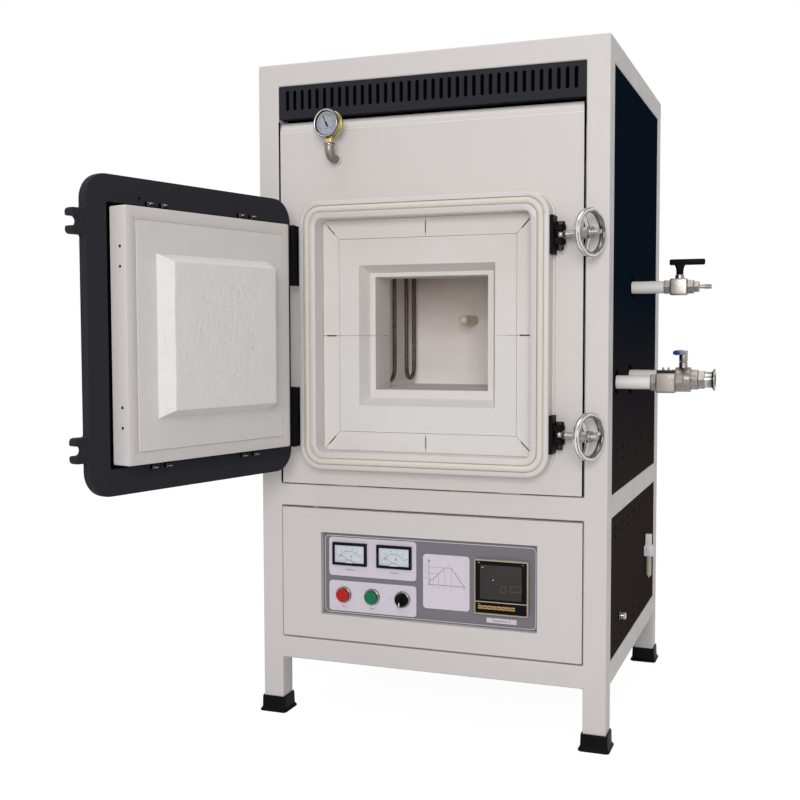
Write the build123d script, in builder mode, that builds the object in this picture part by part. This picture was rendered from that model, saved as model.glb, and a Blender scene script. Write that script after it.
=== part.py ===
from build123d import *
from math import atan2, cos, degrees, hypot, radians, sin
import os

# Atmosphere muffle furnace with a gas-tight swing-bolt door, in millimetres.
# +Z is up, +X is to the operator's right and the door is on the -Y side.
# The origin is on the floor, under the centre of the cabinet.

# ---- driving dimensions ----------------------------------------------------------------
WIDTH, DEPTH, HEIGHT = 640.0, 600.0, 1190.0
TUBE, TUBE_WALL = 40.0, 2.0  # square tube of the welded stand
FOOT_HEIGHT, FOOT_FLOOR, FOOT_FLARE = 30.0, 6.0, 5.0
RAIL_CENTRES = (HEIGHT - TUBE / 2, 410.0, 125.0)  # top, middle and bottom rails
SHEET = 1.5
REVEAL = 1.8  # gap between a cover and the tube beside it

DOOR_Z = 701.0  # height of the centre of the door and of the furnace mouth
FLANGE_W, FLANGE_H, FLANGE_R, FLANGE_DEPTH = 454.0, 476.0, 40.0, 33.0
OPENING_W, OPENING_H, OPENING_R = 390.0, 412.0, 12.0  # clear opening inside the flange
GROOVE_INSET, GROOVE_W, GROOVE_DEPTH = 9.0, 12.0, 8.0
SEAL_PROUD = 1.6

MOUTH_W, MOUTH_H = 251.0, 249.0
TAPER_DEPTH, TAPER_SIDE, TAPER_TOP = 28.0, 10.5, 12.5  # depth and inset of the mouth's taper
THROAT_W, THROAT_BOTTOM, THROAT_TOP = 210.0, 604.0, 806.0
BOARD_W, BOARD_H = 326.0, 342.5  # joint line round the throat boards
BOARD_FRONT, BOARD_BACK, LIP_BACK = -297.0, -225.0, -197.0
JOINT = 0.6  # open joint between two boards
CHAMBER_W, CHAMBER_FLOOR, CHAMBER_ROOF, CHAMBER_BACK = 262.0, 604.0, 820.0, 0.0
LINING = 60.0
PROBE_X, PROBE_Z, PROBE_R, PROBE_TIP = -2.0, 731.0, 9.0, -75.0  # thermocouple sheath

HINGE_X, HINGE_Y, DOOR_OPEN = -236.0, -338.0, 104.0  # hinge axis; the door stands open
DOOR_FACE, DOOR_THICK = -335.0, 15.0  # inner face of the closed door, plate thickness
TRAY_W, TRAY_H, TRAY_DEPTH = 365.0, 382.0, 34.0
DOOR_BOARD_W, DOOR_BOARD_H = 326.0, 342.0
PLUG_CLEARANCE = 1.5

BOLT_X, BOLT_Y, BOLT_OPEN = 242.0, -316.0, 65.8  # swing bolt pivots; bolts swung aside
BOLT_HEIGHTS = {"upper": DOOR_Z + 165.0, "lower": DOOR_Z - 165.0}
ROD_R, ROD_LENGTH, WHEEL_R = 6.0, 76.0, 40.0
WASHER_AT, WASHER_THICK = 38.5, 3.0
RUNNING = 0.05  # radial clearance of a shaft in its hole

RECESS_W, RECESS_BOTTOM, RECESS_TOP, RECESS_DEPTH = 403.0, 193.0, 344.0, 12.0
PIPES = {"gas_outlet": (-54.0, 788.0, 11.2), "relief": (-215.0, 620.5, 11.6), "vacuum": (-70.5, 620.5, 17.0)}
GAUGE_X, GAUGE_Y, GAUGE_Z, GAUGE_R, GAUGE_TURN = -165.5, -333.0, 1070.5, 25.0, 9.0
GAUGE_PORT_Z = 1013.5

FRONT, SIDE = -DEPTH / 2, WIDTH / 2
INNER_X, INNER_Y = WIDTH / 2 - TUBE, DEPTH / 2 - TUBE

os.makedirs("parts", exist_ok=True)


def keep(piece, name):
    """Label a finished piece and write its STEP file."""
    piece.part.label = name
    export_step(piece.part, f"parts/{name}.step")


def facing_front(y):
    """Plane facing the operator at depth y: its X is the cabinet's X and its Y is height."""
    return Plane(origin=(0, y, 0), x_dir=(1, 0, 0), z_dir=(0, -1, 0))


def facing_right(x):
    """Plane facing right at x: its X is the cabinet's Y and its Y is height."""
    return Plane(origin=(x, 0, 0), x_dir=(0, 1, 0), z_dir=(1, 0, 0))


def facing_door(depth):
    """Plane facing out of the open door: its X runs from the hinge axis, its Y is height."""
    turn = radians(-DOOR_OPEN)
    along, out = Vector(cos(turn), sin(turn), 0), Vector(sin(turn), -cos(turn), 0)
    return Plane(origin=Vector(HINGE_X, HINGE_Y, 0) + out * depth, x_dir=along, z_dir=out)


def along_bolt(height, reach):
    """Plane across a swing bolt's rod, reach millimetres out from its pivot."""
    turn = radians(BOLT_OPEN)
    out = Vector(sin(turn), -cos(turn), 0)
    return Plane(origin=Vector(BOLT_X, BOLT_Y, height) + out * reach, x_dir=(0, 0, 1), z_dir=out)


# ---- stand -----------------------------------------------------------------------------
def tube_section():
    """One square tube section at each location of the current sketch."""
    Rectangle(TUBE, TUBE)
    Rectangle(TUBE - 2 * TUBE_WALL, TUBE - 2 * TUBE_WALL, mode=Mode.SUBTRACT)


post_spots = GridLocations(WIDTH - TUBE, DEPTH - TUBE, 2, 2)
with BuildPart() as corner_posts:
    with BuildSketch(Plane.XY.offset(FOOT_FLOOR)):
        with post_spots:
            tube_section()
    extrude(amount=HEIGHT - TUBE_WALL - FOOT_FLOOR)
    with BuildSketch(Plane.XY.offset(HEIGHT - TUBE_WALL)):
        with post_spots:
            Rectangle(TUBE, TUBE)
    extrude(amount=TUBE_WALL)
    uprights = corner_posts.edges().filter_by(Axis.Z)
    outer = uprights.sort_by(lambda edge: hypot(edge.center().X, edge.center().Y))[-4:]
    fillet(outer, radius=3)
keep(corner_posts, "corner_posts")

with BuildPart() as frame_rails:
    with BuildSketch(facing_right(-INNER_X)):
        with Locations([(side * (DEPTH - TUBE) / 2, z) for side in (-1, 1) for z in RAIL_CENTRES]):
            tube_section()
    extrude(amount=2 * INNER_X)
    with BuildSketch(facing_front(INNER_Y)):
        with Locations([(side * (WIDTH - TUBE) / 2, z) for side in (-1, 1) for z in RAIL_CENTRES]):
            tube_section()
    extrude(amount=2 * INNER_Y)
keep(frame_rails, "frame_rails")

with BuildPart() as foot_caps:
    with BuildSketch():
        with post_spots:
            Rectangle(TUBE + 4 + 2 * FOOT_FLARE, TUBE + 4 + 2 * FOOT_FLARE)
    extrude(amount=4)
    with BuildSketch(Plane.XY.offset(4)):
        with post_spots:
            Rectangle(TUBE + 6, TUBE + 6)
    extrude(amount=FOOT_HEIGHT - 4)
    with BuildSketch(Plane.XY.offset(FOOT_FLOOR)):
        with post_spots:
            Rectangle(TUBE, TUBE)
    extrude(amount=FOOT_HEIGHT, mode=Mode.SUBTRACT)
keep(foot_caps, "foot_caps")

# ---- covers ----------------------------------------------------------------------------
GRILLE_BOTTOM, GRILLE_TOP = 1092.0, HEIGHT - TUBE
SLOT_COUNT, SLOT_PITCH, SLOT_H, SLOT_W = 37, 14.6, 34.0, 4.8
with BuildPart() as vent_grille:
    grille_mid, grille_h = (GRILLE_TOP + GRILLE_BOTTOM) / 2, GRILLE_TOP - GRILLE_BOTTOM
    with BuildSketch(facing_front(FRONT + 2 + SHEET)):
        with Locations((0, grille_mid)):
            Rectangle(2 * INNER_X, grille_h)
        with Locations((0, grille_mid + 3)):
            with GridLocations(SLOT_PITCH, 1, SLOT_COUNT, 1):
                SlotOverall(SLOT_H, SLOT_W, rotation=90, mode=Mode.SUBTRACT)
    extrude(amount=SHEET)
    with BuildSketch(facing_front(FRONT + 24)):
        with Locations((0, GRILLE_BOTTOM + SHEET / 2), (0, GRILLE_TOP - SHEET / 2)):
            Rectangle(2 * INNER_X, SHEET)
    extrude(amount=22)
keep(vent_grille, "vent_grille")

PLATE_BOTTOM, PLATE_TOP, PLATE_BEND, PLATE_THICK, STRIP_W = 432.0, 1087.0, 20.0, 3.0, 24.0
with BuildPart() as vessel_front_plate:
    with BuildSketch(facing_right(-INNER_X + REVEAL)):
        with BuildLine():
            bend = (FRONT + PLATE_BEND, PLATE_TOP - PLATE_BEND)
            outer_arc = CenterArc(bend, PLATE_BEND, 90, 90)
            inner_arc = CenterArc(bend, PLATE_BEND - PLATE_THICK, 90, 90)
            Polyline(outer_arc @ 0, (FRONT + 2 * PLATE_BEND, PLATE_TOP),
                     (FRONT + 2 * PLATE_BEND, PLATE_TOP - PLATE_THICK), inner_arc @ 0)
            Polyline(outer_arc @ 1, (FRONT, PLATE_BOTTOM), (FRONT + PLATE_THICK, PLATE_BOTTOM), inner_arc @ 1)
        make_face()
    extrude(amount=2 * (INNER_X - REVEAL))
    with BuildSketch(facing_front(FRONT + PLATE_THICK)):
        with Locations((0, DOOR_Z)):
            RectangleRounded(OPENING_W, OPENING_H, OPENING_R)
        with Locations((GAUGE_X, GAUGE_PORT_Z)):
            Circle(7)
    extrude(amount=PLATE_THICK, mode=Mode.SUBTRACT)
    strip_top = PLATE_TOP - 2 * PLATE_BEND
    with BuildSketch(facing_front(FRONT + 2 * PLATE_THICK)):
        with Locations([(side * (INNER_X - STRIP_W / 2), (strip_top + PLATE_BOTTOM) / 2) for side in (-1, 1)]):
            Rectangle(STRIP_W, strip_top - PLATE_BOTTOM)
    extrude(amount=PLATE_THICK)
keep(vessel_front_plate, "vessel_front_plate")

FASCIA_W, FASCIA_BOTTOM, FASCIA_TOP = 2 * (INNER_X - REVEAL), 147.0, 388.0
with BuildPart() as control_fascia:
    with BuildSketch(facing_front(FRONT + SHEET)):
        with Locations((0, (FASCIA_BOTTOM + FASCIA_TOP) / 2)):
            Rectangle(FASCIA_W, FASCIA_TOP - FASCIA_BOTTOM)
    extrude(amount=SHEET)
    with BuildSketch(facing_front(FRONT + RECESS_DEPTH)):
        with Locations((0, (FASCIA_BOTTOM + FASCIA_TOP) / 2)):
            Rectangle(FASCIA_W, FASCIA_TOP - FASCIA_BOTTOM)
            Rectangle(FASCIA_W - 2 * SHEET, FASCIA_TOP - FASCIA_BOTTOM - 2 * SHEET, mode=Mode.SUBTRACT)
        with Locations((0, (RECESS_BOTTOM + RECESS_TOP) / 2)):
            Rectangle(RECESS_W + 2 * SHEET, RECESS_TOP - RECESS_BOTTOM + 2 * SHEET)
    extrude(amount=RECESS_DEPTH)
    with BuildSketch(facing_front(FRONT + RECESS_DEPTH)):
        with Locations((0, (RECESS_BOTTOM + RECESS_TOP) / 2)):
            Rectangle(RECESS_W, RECESS_TOP - RECESS_BOTTOM)
    extrude(amount=RECESS_DEPTH, mode=Mode.SUBTRACT)
    with BuildSketch(facing_front(FRONT + RECESS_DEPTH)):
        with Locations([(side * (INNER_X - STRIP_W / 2), (FASCIA_BOTTOM + FASCIA_TOP) / 2) for side in (-1, 1)]):
            Rectangle(STRIP_W, FASCIA_TOP - FASCIA_BOTTOM)
    extrude(amount=SHEET)
keep(control_fascia, "control_fascia")

PANEL_SET, REAR_SET = 1.5, 8.0  # side and rear covers sit back from the tube's face
PANEL_FACE = SIDE - PANEL_SET
BAYS = {"upper": (430.0, HEIGHT - TUBE), "lower": (145.0, 390.0)}
LOUVRE_COLUMNS, LOUVRE_PITCH, LOUVRE_L, LOUVRE_H = 7, 68.8, 17.0, 6.0
LOUVRE_ROWS = {"upper": (482.0, 502.0, 1076.0, 1096.0), "lower": (165.0, 181.0, 352.0, 367.0)}
LOCK_Y, LOCK_Z, LOCK_R, LOCK_STEM_R = -174.0, 205.0, 7.0, 5.0


def louvre_slots(bay):
    """Cut the two double rows of short slots of one bay's cover."""
    with Locations([(0, z) for z in LOUVRE_ROWS[bay]]):
        with GridLocations(LOUVRE_PITCH, 1, LOUVRE_COLUMNS, 1):
            Rectangle(LOUVRE_L, LOUVRE_H, mode=Mode.SUBTRACT)


def bay_cover(bay, width):
    """Outline of the cover that closes one bay between the rails."""
    bottom, top = BAYS[bay]
    with Locations((0, (bottom + top) / 2)):
        Rectangle(width, top - bottom)


with BuildPart() as right_panels:
    with BuildSketch(facing_right(PANEL_FACE - SHEET)):
        for bay in BAYS:
            bay_cover(bay, 2 * INNER_Y)
            louvre_slots(bay)
        for y, z, radius in PIPES.values():
            with Locations((y, z)):
                Circle(radius + 1.5, mode=Mode.SUBTRACT)
        with Locations((LOCK_Y, LOCK_Z)):
            Circle(LOCK_STEM_R + RUNNING, mode=Mode.SUBTRACT)
    extrude(amount=SHEET)
keep(right_panels, "right_panels")

with BuildPart() as left_panels:
    with BuildSketch(facing_right(-PANEL_FACE)):
        for bay in BAYS:
            bay_cover(bay, 2 * INNER_Y)
            louvre_slots(bay)
    extrude(amount=SHEET)
keep(left_panels, "left_panels")

GLAND_X, GLAND_Z, GLAND_BORE = 180.0, 200.0, 8.0
with BuildPart() as rear_panels:
    with BuildSketch(facing_front(DEPTH / 2 - REAR_SET)):
        for bay in BAYS:
            bay_cover(bay, 2 * INNER_X)
            louvre_slots(bay)
        with Locations((GLAND_X, GLAND_Z)):
            Circle(12.5, mode=Mode.SUBTRACT)
    extrude(amount=SHEET)
keep(rear_panels, "rear_panels")

with BuildPart() as deck_plates:
    with BuildSketch(Plane.XY.offset(HEIGHT - 4)):
        Rectangle(2 * INNER_X, 2 * INNER_Y)
        with Locations((0, -120), (0, 120)):
            with GridLocations(LOUVRE_PITCH, 24, LOUVRE_COLUMNS, 2):
                Rectangle(LOUVRE_L, LOUVRE_H, mode=Mode.SUBTRACT)
    extrude(amount=-SHEET)
    with BuildSketch(Plane.XY.offset(BAYS["lower"][0])):
        Rectangle(2 * INNER_X, 2 * INNER_Y)
    extrude(amount=-SHEET)
keep(deck_plates, "deck_plates")

# ---- vessel and lining -----------------------------------------------------------------
VESSEL_WALL, VESSEL_TOP, VESSEL_BACK = 4.0, 1000.0, 120.0
VESSEL_BOTTOM = DOOR_Z - OPENING_H / 2
vessel_mid, vessel_h = (VESSEL_BOTTOM + VESSEL_TOP) / 2, VESSEL_TOP - VESSEL_BOTTOM
with BuildPart() as vessel_shell:
    with BuildSketch(facing_front(VESSEL_BACK)):
        with Locations((0, vessel_mid)):
            Rectangle(OPENING_W + 2 * VESSEL_WALL, vessel_h + 2 * VESSEL_WALL)
    extrude(amount=VESSEL_BACK - FRONT - PLATE_THICK)
    with BuildSketch(facing_front(VESSEL_BACK - VESSEL_WALL)):
        with Locations((0, vessel_mid)):
            Rectangle(OPENING_W, vessel_h)
    extrude(amount=VESSEL_BACK - FRONT, mode=Mode.SUBTRACT)
    for y, z, radius in PIPES.values():
        with BuildSketch(facing_right(OPENING_W / 2)):
            with Locations((y, z)):
                Circle(radius - 3)
        extrude(amount=VESSEL_WALL, mode=Mode.SUBTRACT)
    with BuildSketch(facing_front(VESSEL_BACK)):
        with Locations((PROBE_X, PROBE_Z)):
            Circle(PROBE_R + 0.5)
    extrude(amount=VESSEL_WALL, mode=Mode.SUBTRACT)
keep(vessel_shell, "vessel_shell")

CRADLE_X, CRADLE_BACK = 150.0, INNER_Y + TUBE / 2
cradle_top, cradle_bottom = VESSEL_BOTTOM - VESSEL_WALL, RAIL_CENTRES[1] + TUBE / 2
with BuildPart() as vessel_cradle:
    with BuildSketch(facing_front(CRADLE_BACK)):
        with Locations([(side * CRADLE_X, (cradle_top + cradle_bottom) / 2) for side in (-1, 1)]):
            Rectangle(TUBE, cradle_top - cradle_bottom)
            Rectangle(TUBE - 2 * PLATE_THICK, cradle_top - cradle_bottom - 2 * PLATE_THICK, mode=Mode.SUBTRACT)
    extrude(amount=CRADLE_BACK - FRONT - 2 * PLATE_THICK)
keep(vessel_cradle, "vessel_cradle")

with BuildPart() as door_flange:
    with BuildSketch(facing_front(FRONT)):
        with Locations((0, DOOR_Z)):
            RectangleRounded(FLANGE_W, FLANGE_H, FLANGE_R)
            RectangleRounded(OPENING_W, OPENING_H, OPENING_R, mode=Mode.SUBTRACT)
    extrude(amount=FLANGE_DEPTH)
    rims = door_flange.faces().sort_by(Axis.Y)[0].edges()
    chamfer(rims, length=2)
    inset = 2 * GROOVE_INSET
    with BuildSketch(facing_front(FRONT - FLANGE_DEPTH)):
        with Locations((0, DOOR_Z)):
            RectangleRounded(FLANGE_W - inset, FLANGE_H - inset, FLANGE_R - GROOVE_INSET)
            RectangleRounded(FLANGE_W - inset - 2 * GROOVE_W, FLANGE_H - inset - 2 * GROOVE_W,
                             FLANGE_R - GROOVE_INSET - GROOVE_W, mode=Mode.SUBTRACT)
    extrude(amount=-GROOVE_DEPTH, mode=Mode.SUBTRACT)
keep(door_flange, "door_flange")

with BuildPart() as door_seal:
    with BuildSketch(facing_front(FRONT - FLANGE_DEPTH + GROOVE_DEPTH)):
        with Locations((0, DOOR_Z)):
            RectangleRounded(FLANGE_W - inset, FLANGE_H - inset, FLANGE_R - GROOVE_INSET)
            RectangleRounded(FLANGE_W - inset - 2 * GROOVE_W, FLANGE_H - inset - 2 * GROOVE_W,
                             FLANGE_R - GROOVE_INSET - GROOVE_W, mode=Mode.SUBTRACT)
    extrude(amount=GROOVE_DEPTH + SEAL_PROUD)
    crown = door_seal.faces().sort_by(Axis.Y)[0].edges()
    chamfer(crown, length=SEAL_PROUD, length2=4)
keep(door_seal, "door_seal")

SLIT_L, SLIT_W, SLIT_DEPTH = 20.0, 2.5, 15.0
half_w, half_h = OPENING_W / 2 - 0.4, OPENING_H / 2 - 0.4
mid_w, mid_h = (half_w + BOARD_W / 2) / 2, (half_h + BOARD_H / 2) / 2
mitre = degrees(atan2(half_h - BOARD_H / 2, half_w - BOARD_W / 2))
corners = [(x, z) for x in (-1, 1) for z in (-1, 1)]
with BuildPart() as surround_boards:
    with BuildSketch(facing_front(BOARD_BACK)):
        with Locations((0, DOOR_Z)):
            Rectangle(2 * half_w, 2 * half_h)
            Rectangle(BOARD_W + 2 * JOINT, BOARD_H + 2 * JOINT, mode=Mode.SUBTRACT)
            Rectangle(JOINT, 2 * half_h, mode=Mode.SUBTRACT)
            Rectangle(2 * half_w, JOINT, mode=Mode.SUBTRACT)
        for x, z in corners:
            with Locations((x * mid_w, DOOR_Z + z * mid_h)):
                Rectangle(80, JOINT, rotation=x * z * mitre, mode=Mode.SUBTRACT)
    extrude(amount=BOARD_BACK - BOARD_FRONT)
    with BuildSketch(facing_front(BOARD_FRONT)):
        for side in (-1, 1):
            with Locations((side * mid_w, DOOR_Z)):
                Rectangle(SLIT_L, SLIT_W)
            with Locations((0, DOOR_Z + side * mid_h)):
                Rectangle(SLIT_W, SLIT_L)
        for x, z in corners:
            with Locations((x * mid_w, DOOR_Z + z * mid_h)):
                Rectangle(SLIT_L, SLIT_W, rotation=x * z * mitre)
    extrude(amount=-SLIT_DEPTH, mode=Mode.SUBTRACT)
keep(surround_boards, "surround_boards")

throat_mid, throat_h = (THROAT_TOP + THROAT_BOTTOM) / 2, THROAT_TOP - THROAT_BOTTOM
with BuildPart() as throat_boards:
    with BuildSketch(facing_front(BOARD_BACK)):
        with Locations((0, DOOR_Z)):
            Rectangle(BOARD_W, BOARD_H)
    extrude(amount=BOARD_BACK - BOARD_FRONT)
    with BuildSketch(facing_front(LIP_BACK)):
        with Locations((0, DOOR_Z)):
            Rectangle(2 * half_w, OPENING_H)
    extrude(amount=LIP_BACK - BOARD_BACK - JOINT)
    with BuildSketch(facing_front(BOARD_FRONT)):
        with Locations((0, DOOR_Z)):
            Rectangle(MOUTH_W, MOUTH_H)
    with BuildSketch(facing_front(BOARD_FRONT + TAPER_DEPTH)):
        with Locations((0, DOOR_Z)):
            Rectangle(MOUTH_W - 2 * TAPER_SIDE, MOUTH_H - 2 * TAPER_TOP)
    loft(mode=Mode.SUBTRACT)
    with BuildSketch(facing_front(LIP_BACK)):
        with Locations((0, throat_mid)):
            Rectangle(THROAT_W, throat_h)
        with Locations((0, DOOR_Z)):
            Rectangle(OPENING_W, JOINT)
    extrude(amount=LIP_BACK - BOARD_FRONT, mode=Mode.SUBTRACT)
keep(throat_boards, "throat_boards")

LINING_BACK, LINING_TOP = CHAMBER_BACK + LINING, DOOR_Z + half_h
ELEMENT_X, ELEMENT_YS, ELEMENT_PITCH, ELEMENT_R = 120.0, (-155.5, -45.5), 44.0, 4.0
ELEMENT_BOTTOM, SHANK_R, SHANK_TOP = 617.0, 8.0, 950.0
leg_spots = [(side * ELEMENT_X, y + leg * ELEMENT_PITCH / 2)
             for side in (-1, 1) for y in ELEMENT_YS for leg in (-1, 1)]
with BuildPart() as chamber_floor:
    with BuildSketch(facing_front(LINING_BACK)):
        with Locations((0, (VESSEL_BOTTOM + CHAMBER_FLOOR) / 2)):
            Rectangle(2 * half_w, CHAMBER_FLOOR - VESSEL_BOTTOM)
    extrude(amount=LINING_BACK - LIP_BACK)
keep(chamber_floor, "chamber_floor")

with BuildPart() as chamber_walls:
    wall_mid, wall_h = (CHAMBER_FLOOR + CHAMBER_ROOF) / 2, CHAMBER_ROOF - CHAMBER_FLOOR
    with BuildSketch(facing_front(LINING_BACK)):
        with Locations((0, wall_mid)):
            Rectangle(2 * half_w, wall_h)
            Rectangle(CHAMBER_W, wall_h, mode=Mode.SUBTRACT)
    extrude(amount=LINING_BACK - LIP_BACK)
    with BuildSketch(facing_front(LINING_BACK)):
        with Locations((0, wall_mid)):
            Rectangle(CHAMBER_W - JOINT, wall_h)
    extrude(amount=LINING)
    with BuildSketch(facing_front(LINING_BACK)):
        with Locations((PROBE_X, PROBE_Z)):
            Circle(PROBE_R + 0.5)
    extrude(amount=LINING, mode=Mode.SUBTRACT)
keep(chamber_walls, "chamber_walls")

with BuildPart() as chamber_roof:
    with BuildSketch(Plane.XY.offset(CHAMBER_ROOF)):
        with Locations((0, (LINING_BACK + LIP_BACK) / 2)):
            Rectangle(2 * half_w, LINING_BACK - LIP_BACK)
        with Locations(leg_spots):
            Circle(SHANK_R + 0.5, mode=Mode.SUBTRACT)
    extrude(amount=LINING_TOP - CHAMBER_ROOF)
keep(chamber_roof, "chamber_roof")

with BuildPart() as heating_elements:
    for side in (-1, 1):
        for y in ELEMENT_YS:
            bend_z = ELEMENT_BOTTOM + ELEMENT_PITCH / 2
            with BuildLine(facing_right(side * ELEMENT_X)):
                Line((y - ELEMENT_PITCH / 2, CHAMBER_ROOF + 20), (y - ELEMENT_PITCH / 2, bend_z))
                CenterArc((y, bend_z), ELEMENT_PITCH / 2, 180, 180)
                Line((y + ELEMENT_PITCH / 2, bend_z), (y + ELEMENT_PITCH / 2, CHAMBER_ROOF + 20))
            with BuildSketch(Plane.XY.offset(CHAMBER_ROOF + 20)):
                with Locations((side * ELEMENT_X, y - ELEMENT_PITCH / 2)):
                    Circle(ELEMENT_R)
            sweep()
    with BuildSketch(Plane.XY.offset(CHAMBER_ROOF + 20)):
        with Locations(leg_spots):
            Circle(SHANK_R)
    extrude(amount=SHANK_TOP - CHAMBER_ROOF - 20)
keep(heating_elements, "heating_elements")

with BuildPart() as element_terminals:
    with BuildSketch(Plane.XY.offset(LINING_TOP)):
        with Locations(leg_spots):
            Circle(16)
            Circle(SHANK_R, mode=Mode.SUBTRACT)
    extrude(amount=14)
    with BuildSketch(Plane.XY.offset(SHANK_TOP - 22)):
        with Locations(leg_spots):
            Rectangle(26, 24)
            Circle(SHANK_R, mode=Mode.SUBTRACT)
    extrude(amount=14)
keep(element_terminals, "element_terminals")

with BuildPart() as thermocouple:
    with BuildSketch(facing_front(VESSEL_BACK)):
        with Locations((PROBE_X, PROBE_Z)):
            Circle(PROBE_R)
    extrude(amount=VESSEL_BACK - PROBE_TIP)
    fillet(thermocouple.edges().sort_by(Axis.Y)[0], radius=PROBE_R - 2)
    with BuildSketch(facing_front(VESSEL_BACK + 30)):
        with Locations((PROBE_X, PROBE_Z)):
            Circle(24)
    extrude(amount=30)
keep(thermocouple, "thermocouple")

# ---- door ------------------------------------------------------------------------------
HINGE_HEIGHTS, HINGE_H, KNUCKLE_R, PIN_R = (DOOR_Z + 142.0, DOOR_Z - 145.0), 105.0, 8.0, 4.0
KNUCKLE_GAP, MIDDLE_KNUCKLE = 0.5, 44.0
FACE_DEPTH = HINGE_Y - DOOR_FACE  # depth of the door's inner face in its own frame
DOOR_MID = -HINGE_X  # distance from the hinge axis to the middle of the door
end_knuckle = (HINGE_H - MIDDLE_KNUCKLE) / 2 - KNUCKLE_GAP

with BuildPart() as hinge_brackets:
    for z in HINGE_HEIGHTS:
        with BuildSketch(Plane.XY.offset(z - HINGE_H / 2)):
            with Locations((-FLANGE_W / 2 - 7, FRONT - 16)):
                Rectangle(14, 26)
        extrude(amount=HINGE_H)
        for foot in (z - HINGE_H / 2, z + HINGE_H / 2 - end_knuckle):
            with BuildSketch(Plane.XY.offset(foot)):
                with Locations((HINGE_X, HINGE_Y)):
                    Circle(KNUCKLE_R)
                with Locations((HINGE_X, HINGE_Y + 10)):
                    Rectangle(10, 20)
            extrude(amount=end_knuckle)
        with BuildSketch(Plane.XY.offset(z - HINGE_H / 2)):
            with Locations((HINGE_X, HINGE_Y)):
                Circle(PIN_R + RUNNING)
        extrude(amount=HINGE_H, mode=Mode.SUBTRACT)
keep(hinge_brackets, "hinge_brackets")

with BuildPart() as hinge_leaves:
    for z in HINGE_HEIGHTS:
        with BuildSketch(Plane(origin=(HINGE_X, HINGE_Y, z - MIDDLE_KNUCKLE / 2), z_dir=(0, 0, 1),
                               x_dir=facing_door(0).x_dir)):
            Circle(KNUCKLE_R)
            with Locations((4.5, -2)):
                Rectangle(9, 10)
            Circle(PIN_R + RUNNING, mode=Mode.SUBTRACT)
        extrude(amount=MIDDLE_KNUCKLE)
keep(hinge_leaves, "hinge_leaves")

EAR_H, EAR_REACH, SLOT_R = 38.0, 25.0, 7.0
ear_slot_x = DOOR_MID + BOLT_X
with BuildPart() as door_plate:
    with BuildSketch(facing_door(FACE_DEPTH)):
        with Locations((DOOR_MID, DOOR_Z)):
            RectangleRounded(FLANGE_W, FLANGE_H, FLANGE_R)
    extrude(amount=DOOR_THICK)
    with BuildSketch(facing_door(FACE_DEPTH + 2)):
        with Locations([(DOOR_MID + FLANGE_W / 2 + EAR_REACH / 2 - 10, z) for z in BOLT_HEIGHTS.values()]):
            RectangleRounded(EAR_REACH + 20, EAR_H, 5)
    extrude(amount=DOOR_THICK - 2)
    with BuildSketch(facing_door(FACE_DEPTH)):
        for z in BOLT_HEIGHTS.values():
            with Locations((ear_slot_x, z)):
                Circle(SLOT_R)
            with Locations((ear_slot_x + 25, z)):
                Rectangle(50, 2 * SLOT_R)
    extrude(amount=DOOR_THICK, mode=Mode.SUBTRACT)
    outline = door_plate.faces().sort_by(SortBy.AREA)[-1].edges()
    chamfer(outline, length=1.5)
keep(door_plate, "door_plate")

TRAY_WALL, BOARD_PROUD = 2.0, 2.0
with BuildPart() as door_tray:
    with BuildSketch(facing_door(FACE_DEPTH - TRAY_DEPTH)):
        with Locations((DOOR_MID, DOOR_Z)):
            RectangleRounded(TRAY_W, TRAY_H, 3)
    extrude(amount=TRAY_DEPTH)
    with BuildSketch(facing_door(FACE_DEPTH - TRAY_DEPTH + TRAY_WALL)):
        with Locations((DOOR_MID, DOOR_Z)):
            Rectangle(TRAY_W - 2 * TRAY_WALL, TRAY_H - 2 * TRAY_WALL)
    extrude(amount=TRAY_DEPTH, mode=Mode.SUBTRACT)
    with BuildSketch(facing_door(FACE_DEPTH - TRAY_DEPTH)):
        with Locations((DOOR_MID, DOOR_Z)):
            Rectangle(DOOR_BOARD_W + 1, DOOR_BOARD_H + 1)
    extrude(amount=TRAY_WALL, mode=Mode.SUBTRACT)
keep(door_tray, "door_tray")

with BuildPart() as door_board:
    with BuildSketch(facing_door(FACE_DEPTH)):
        with Locations((DOOR_MID, DOOR_Z)):
            Rectangle(TRAY_W - 2 * TRAY_WALL, TRAY_H - 2 * TRAY_WALL)
    extrude(amount=TRAY_WALL - TRAY_DEPTH)
    with BuildSketch(facing_door(FACE_DEPTH - TRAY_DEPTH + TRAY_WALL)):
        with Locations((DOOR_MID, DOOR_Z)):
            Rectangle(DOOR_BOARD_W, DOOR_BOARD_H)
    extrude(amount=-TRAY_WALL - BOARD_PROUD)
keep(door_board, "door_board")

plug_w = MOUTH_W + 2 * (TAPER_SIDE / TAPER_DEPTH * BOARD_PROUD - PLUG_CLEARANCE)
plug_h = MOUTH_H + 2 * (TAPER_TOP / TAPER_DEPTH * BOARD_PROUD - PLUG_CLEARANCE)
with BuildPart() as door_plug:
    with BuildSketch(facing_door(FACE_DEPTH - TRAY_DEPTH - BOARD_PROUD)):
        with Locations((DOOR_MID, DOOR_Z)):
            Rectangle(plug_w, plug_h)
    with BuildSketch(facing_door(FACE_DEPTH - TRAY_DEPTH - BOARD_PROUD - TAPER_DEPTH)):
        with Locations((DOOR_MID, DOOR_Z)):
            Rectangle(plug_w - 2 * TAPER_SIDE, plug_h - 2 * TAPER_TOP)
    loft()
keep(door_plug, "door_plug")

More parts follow.
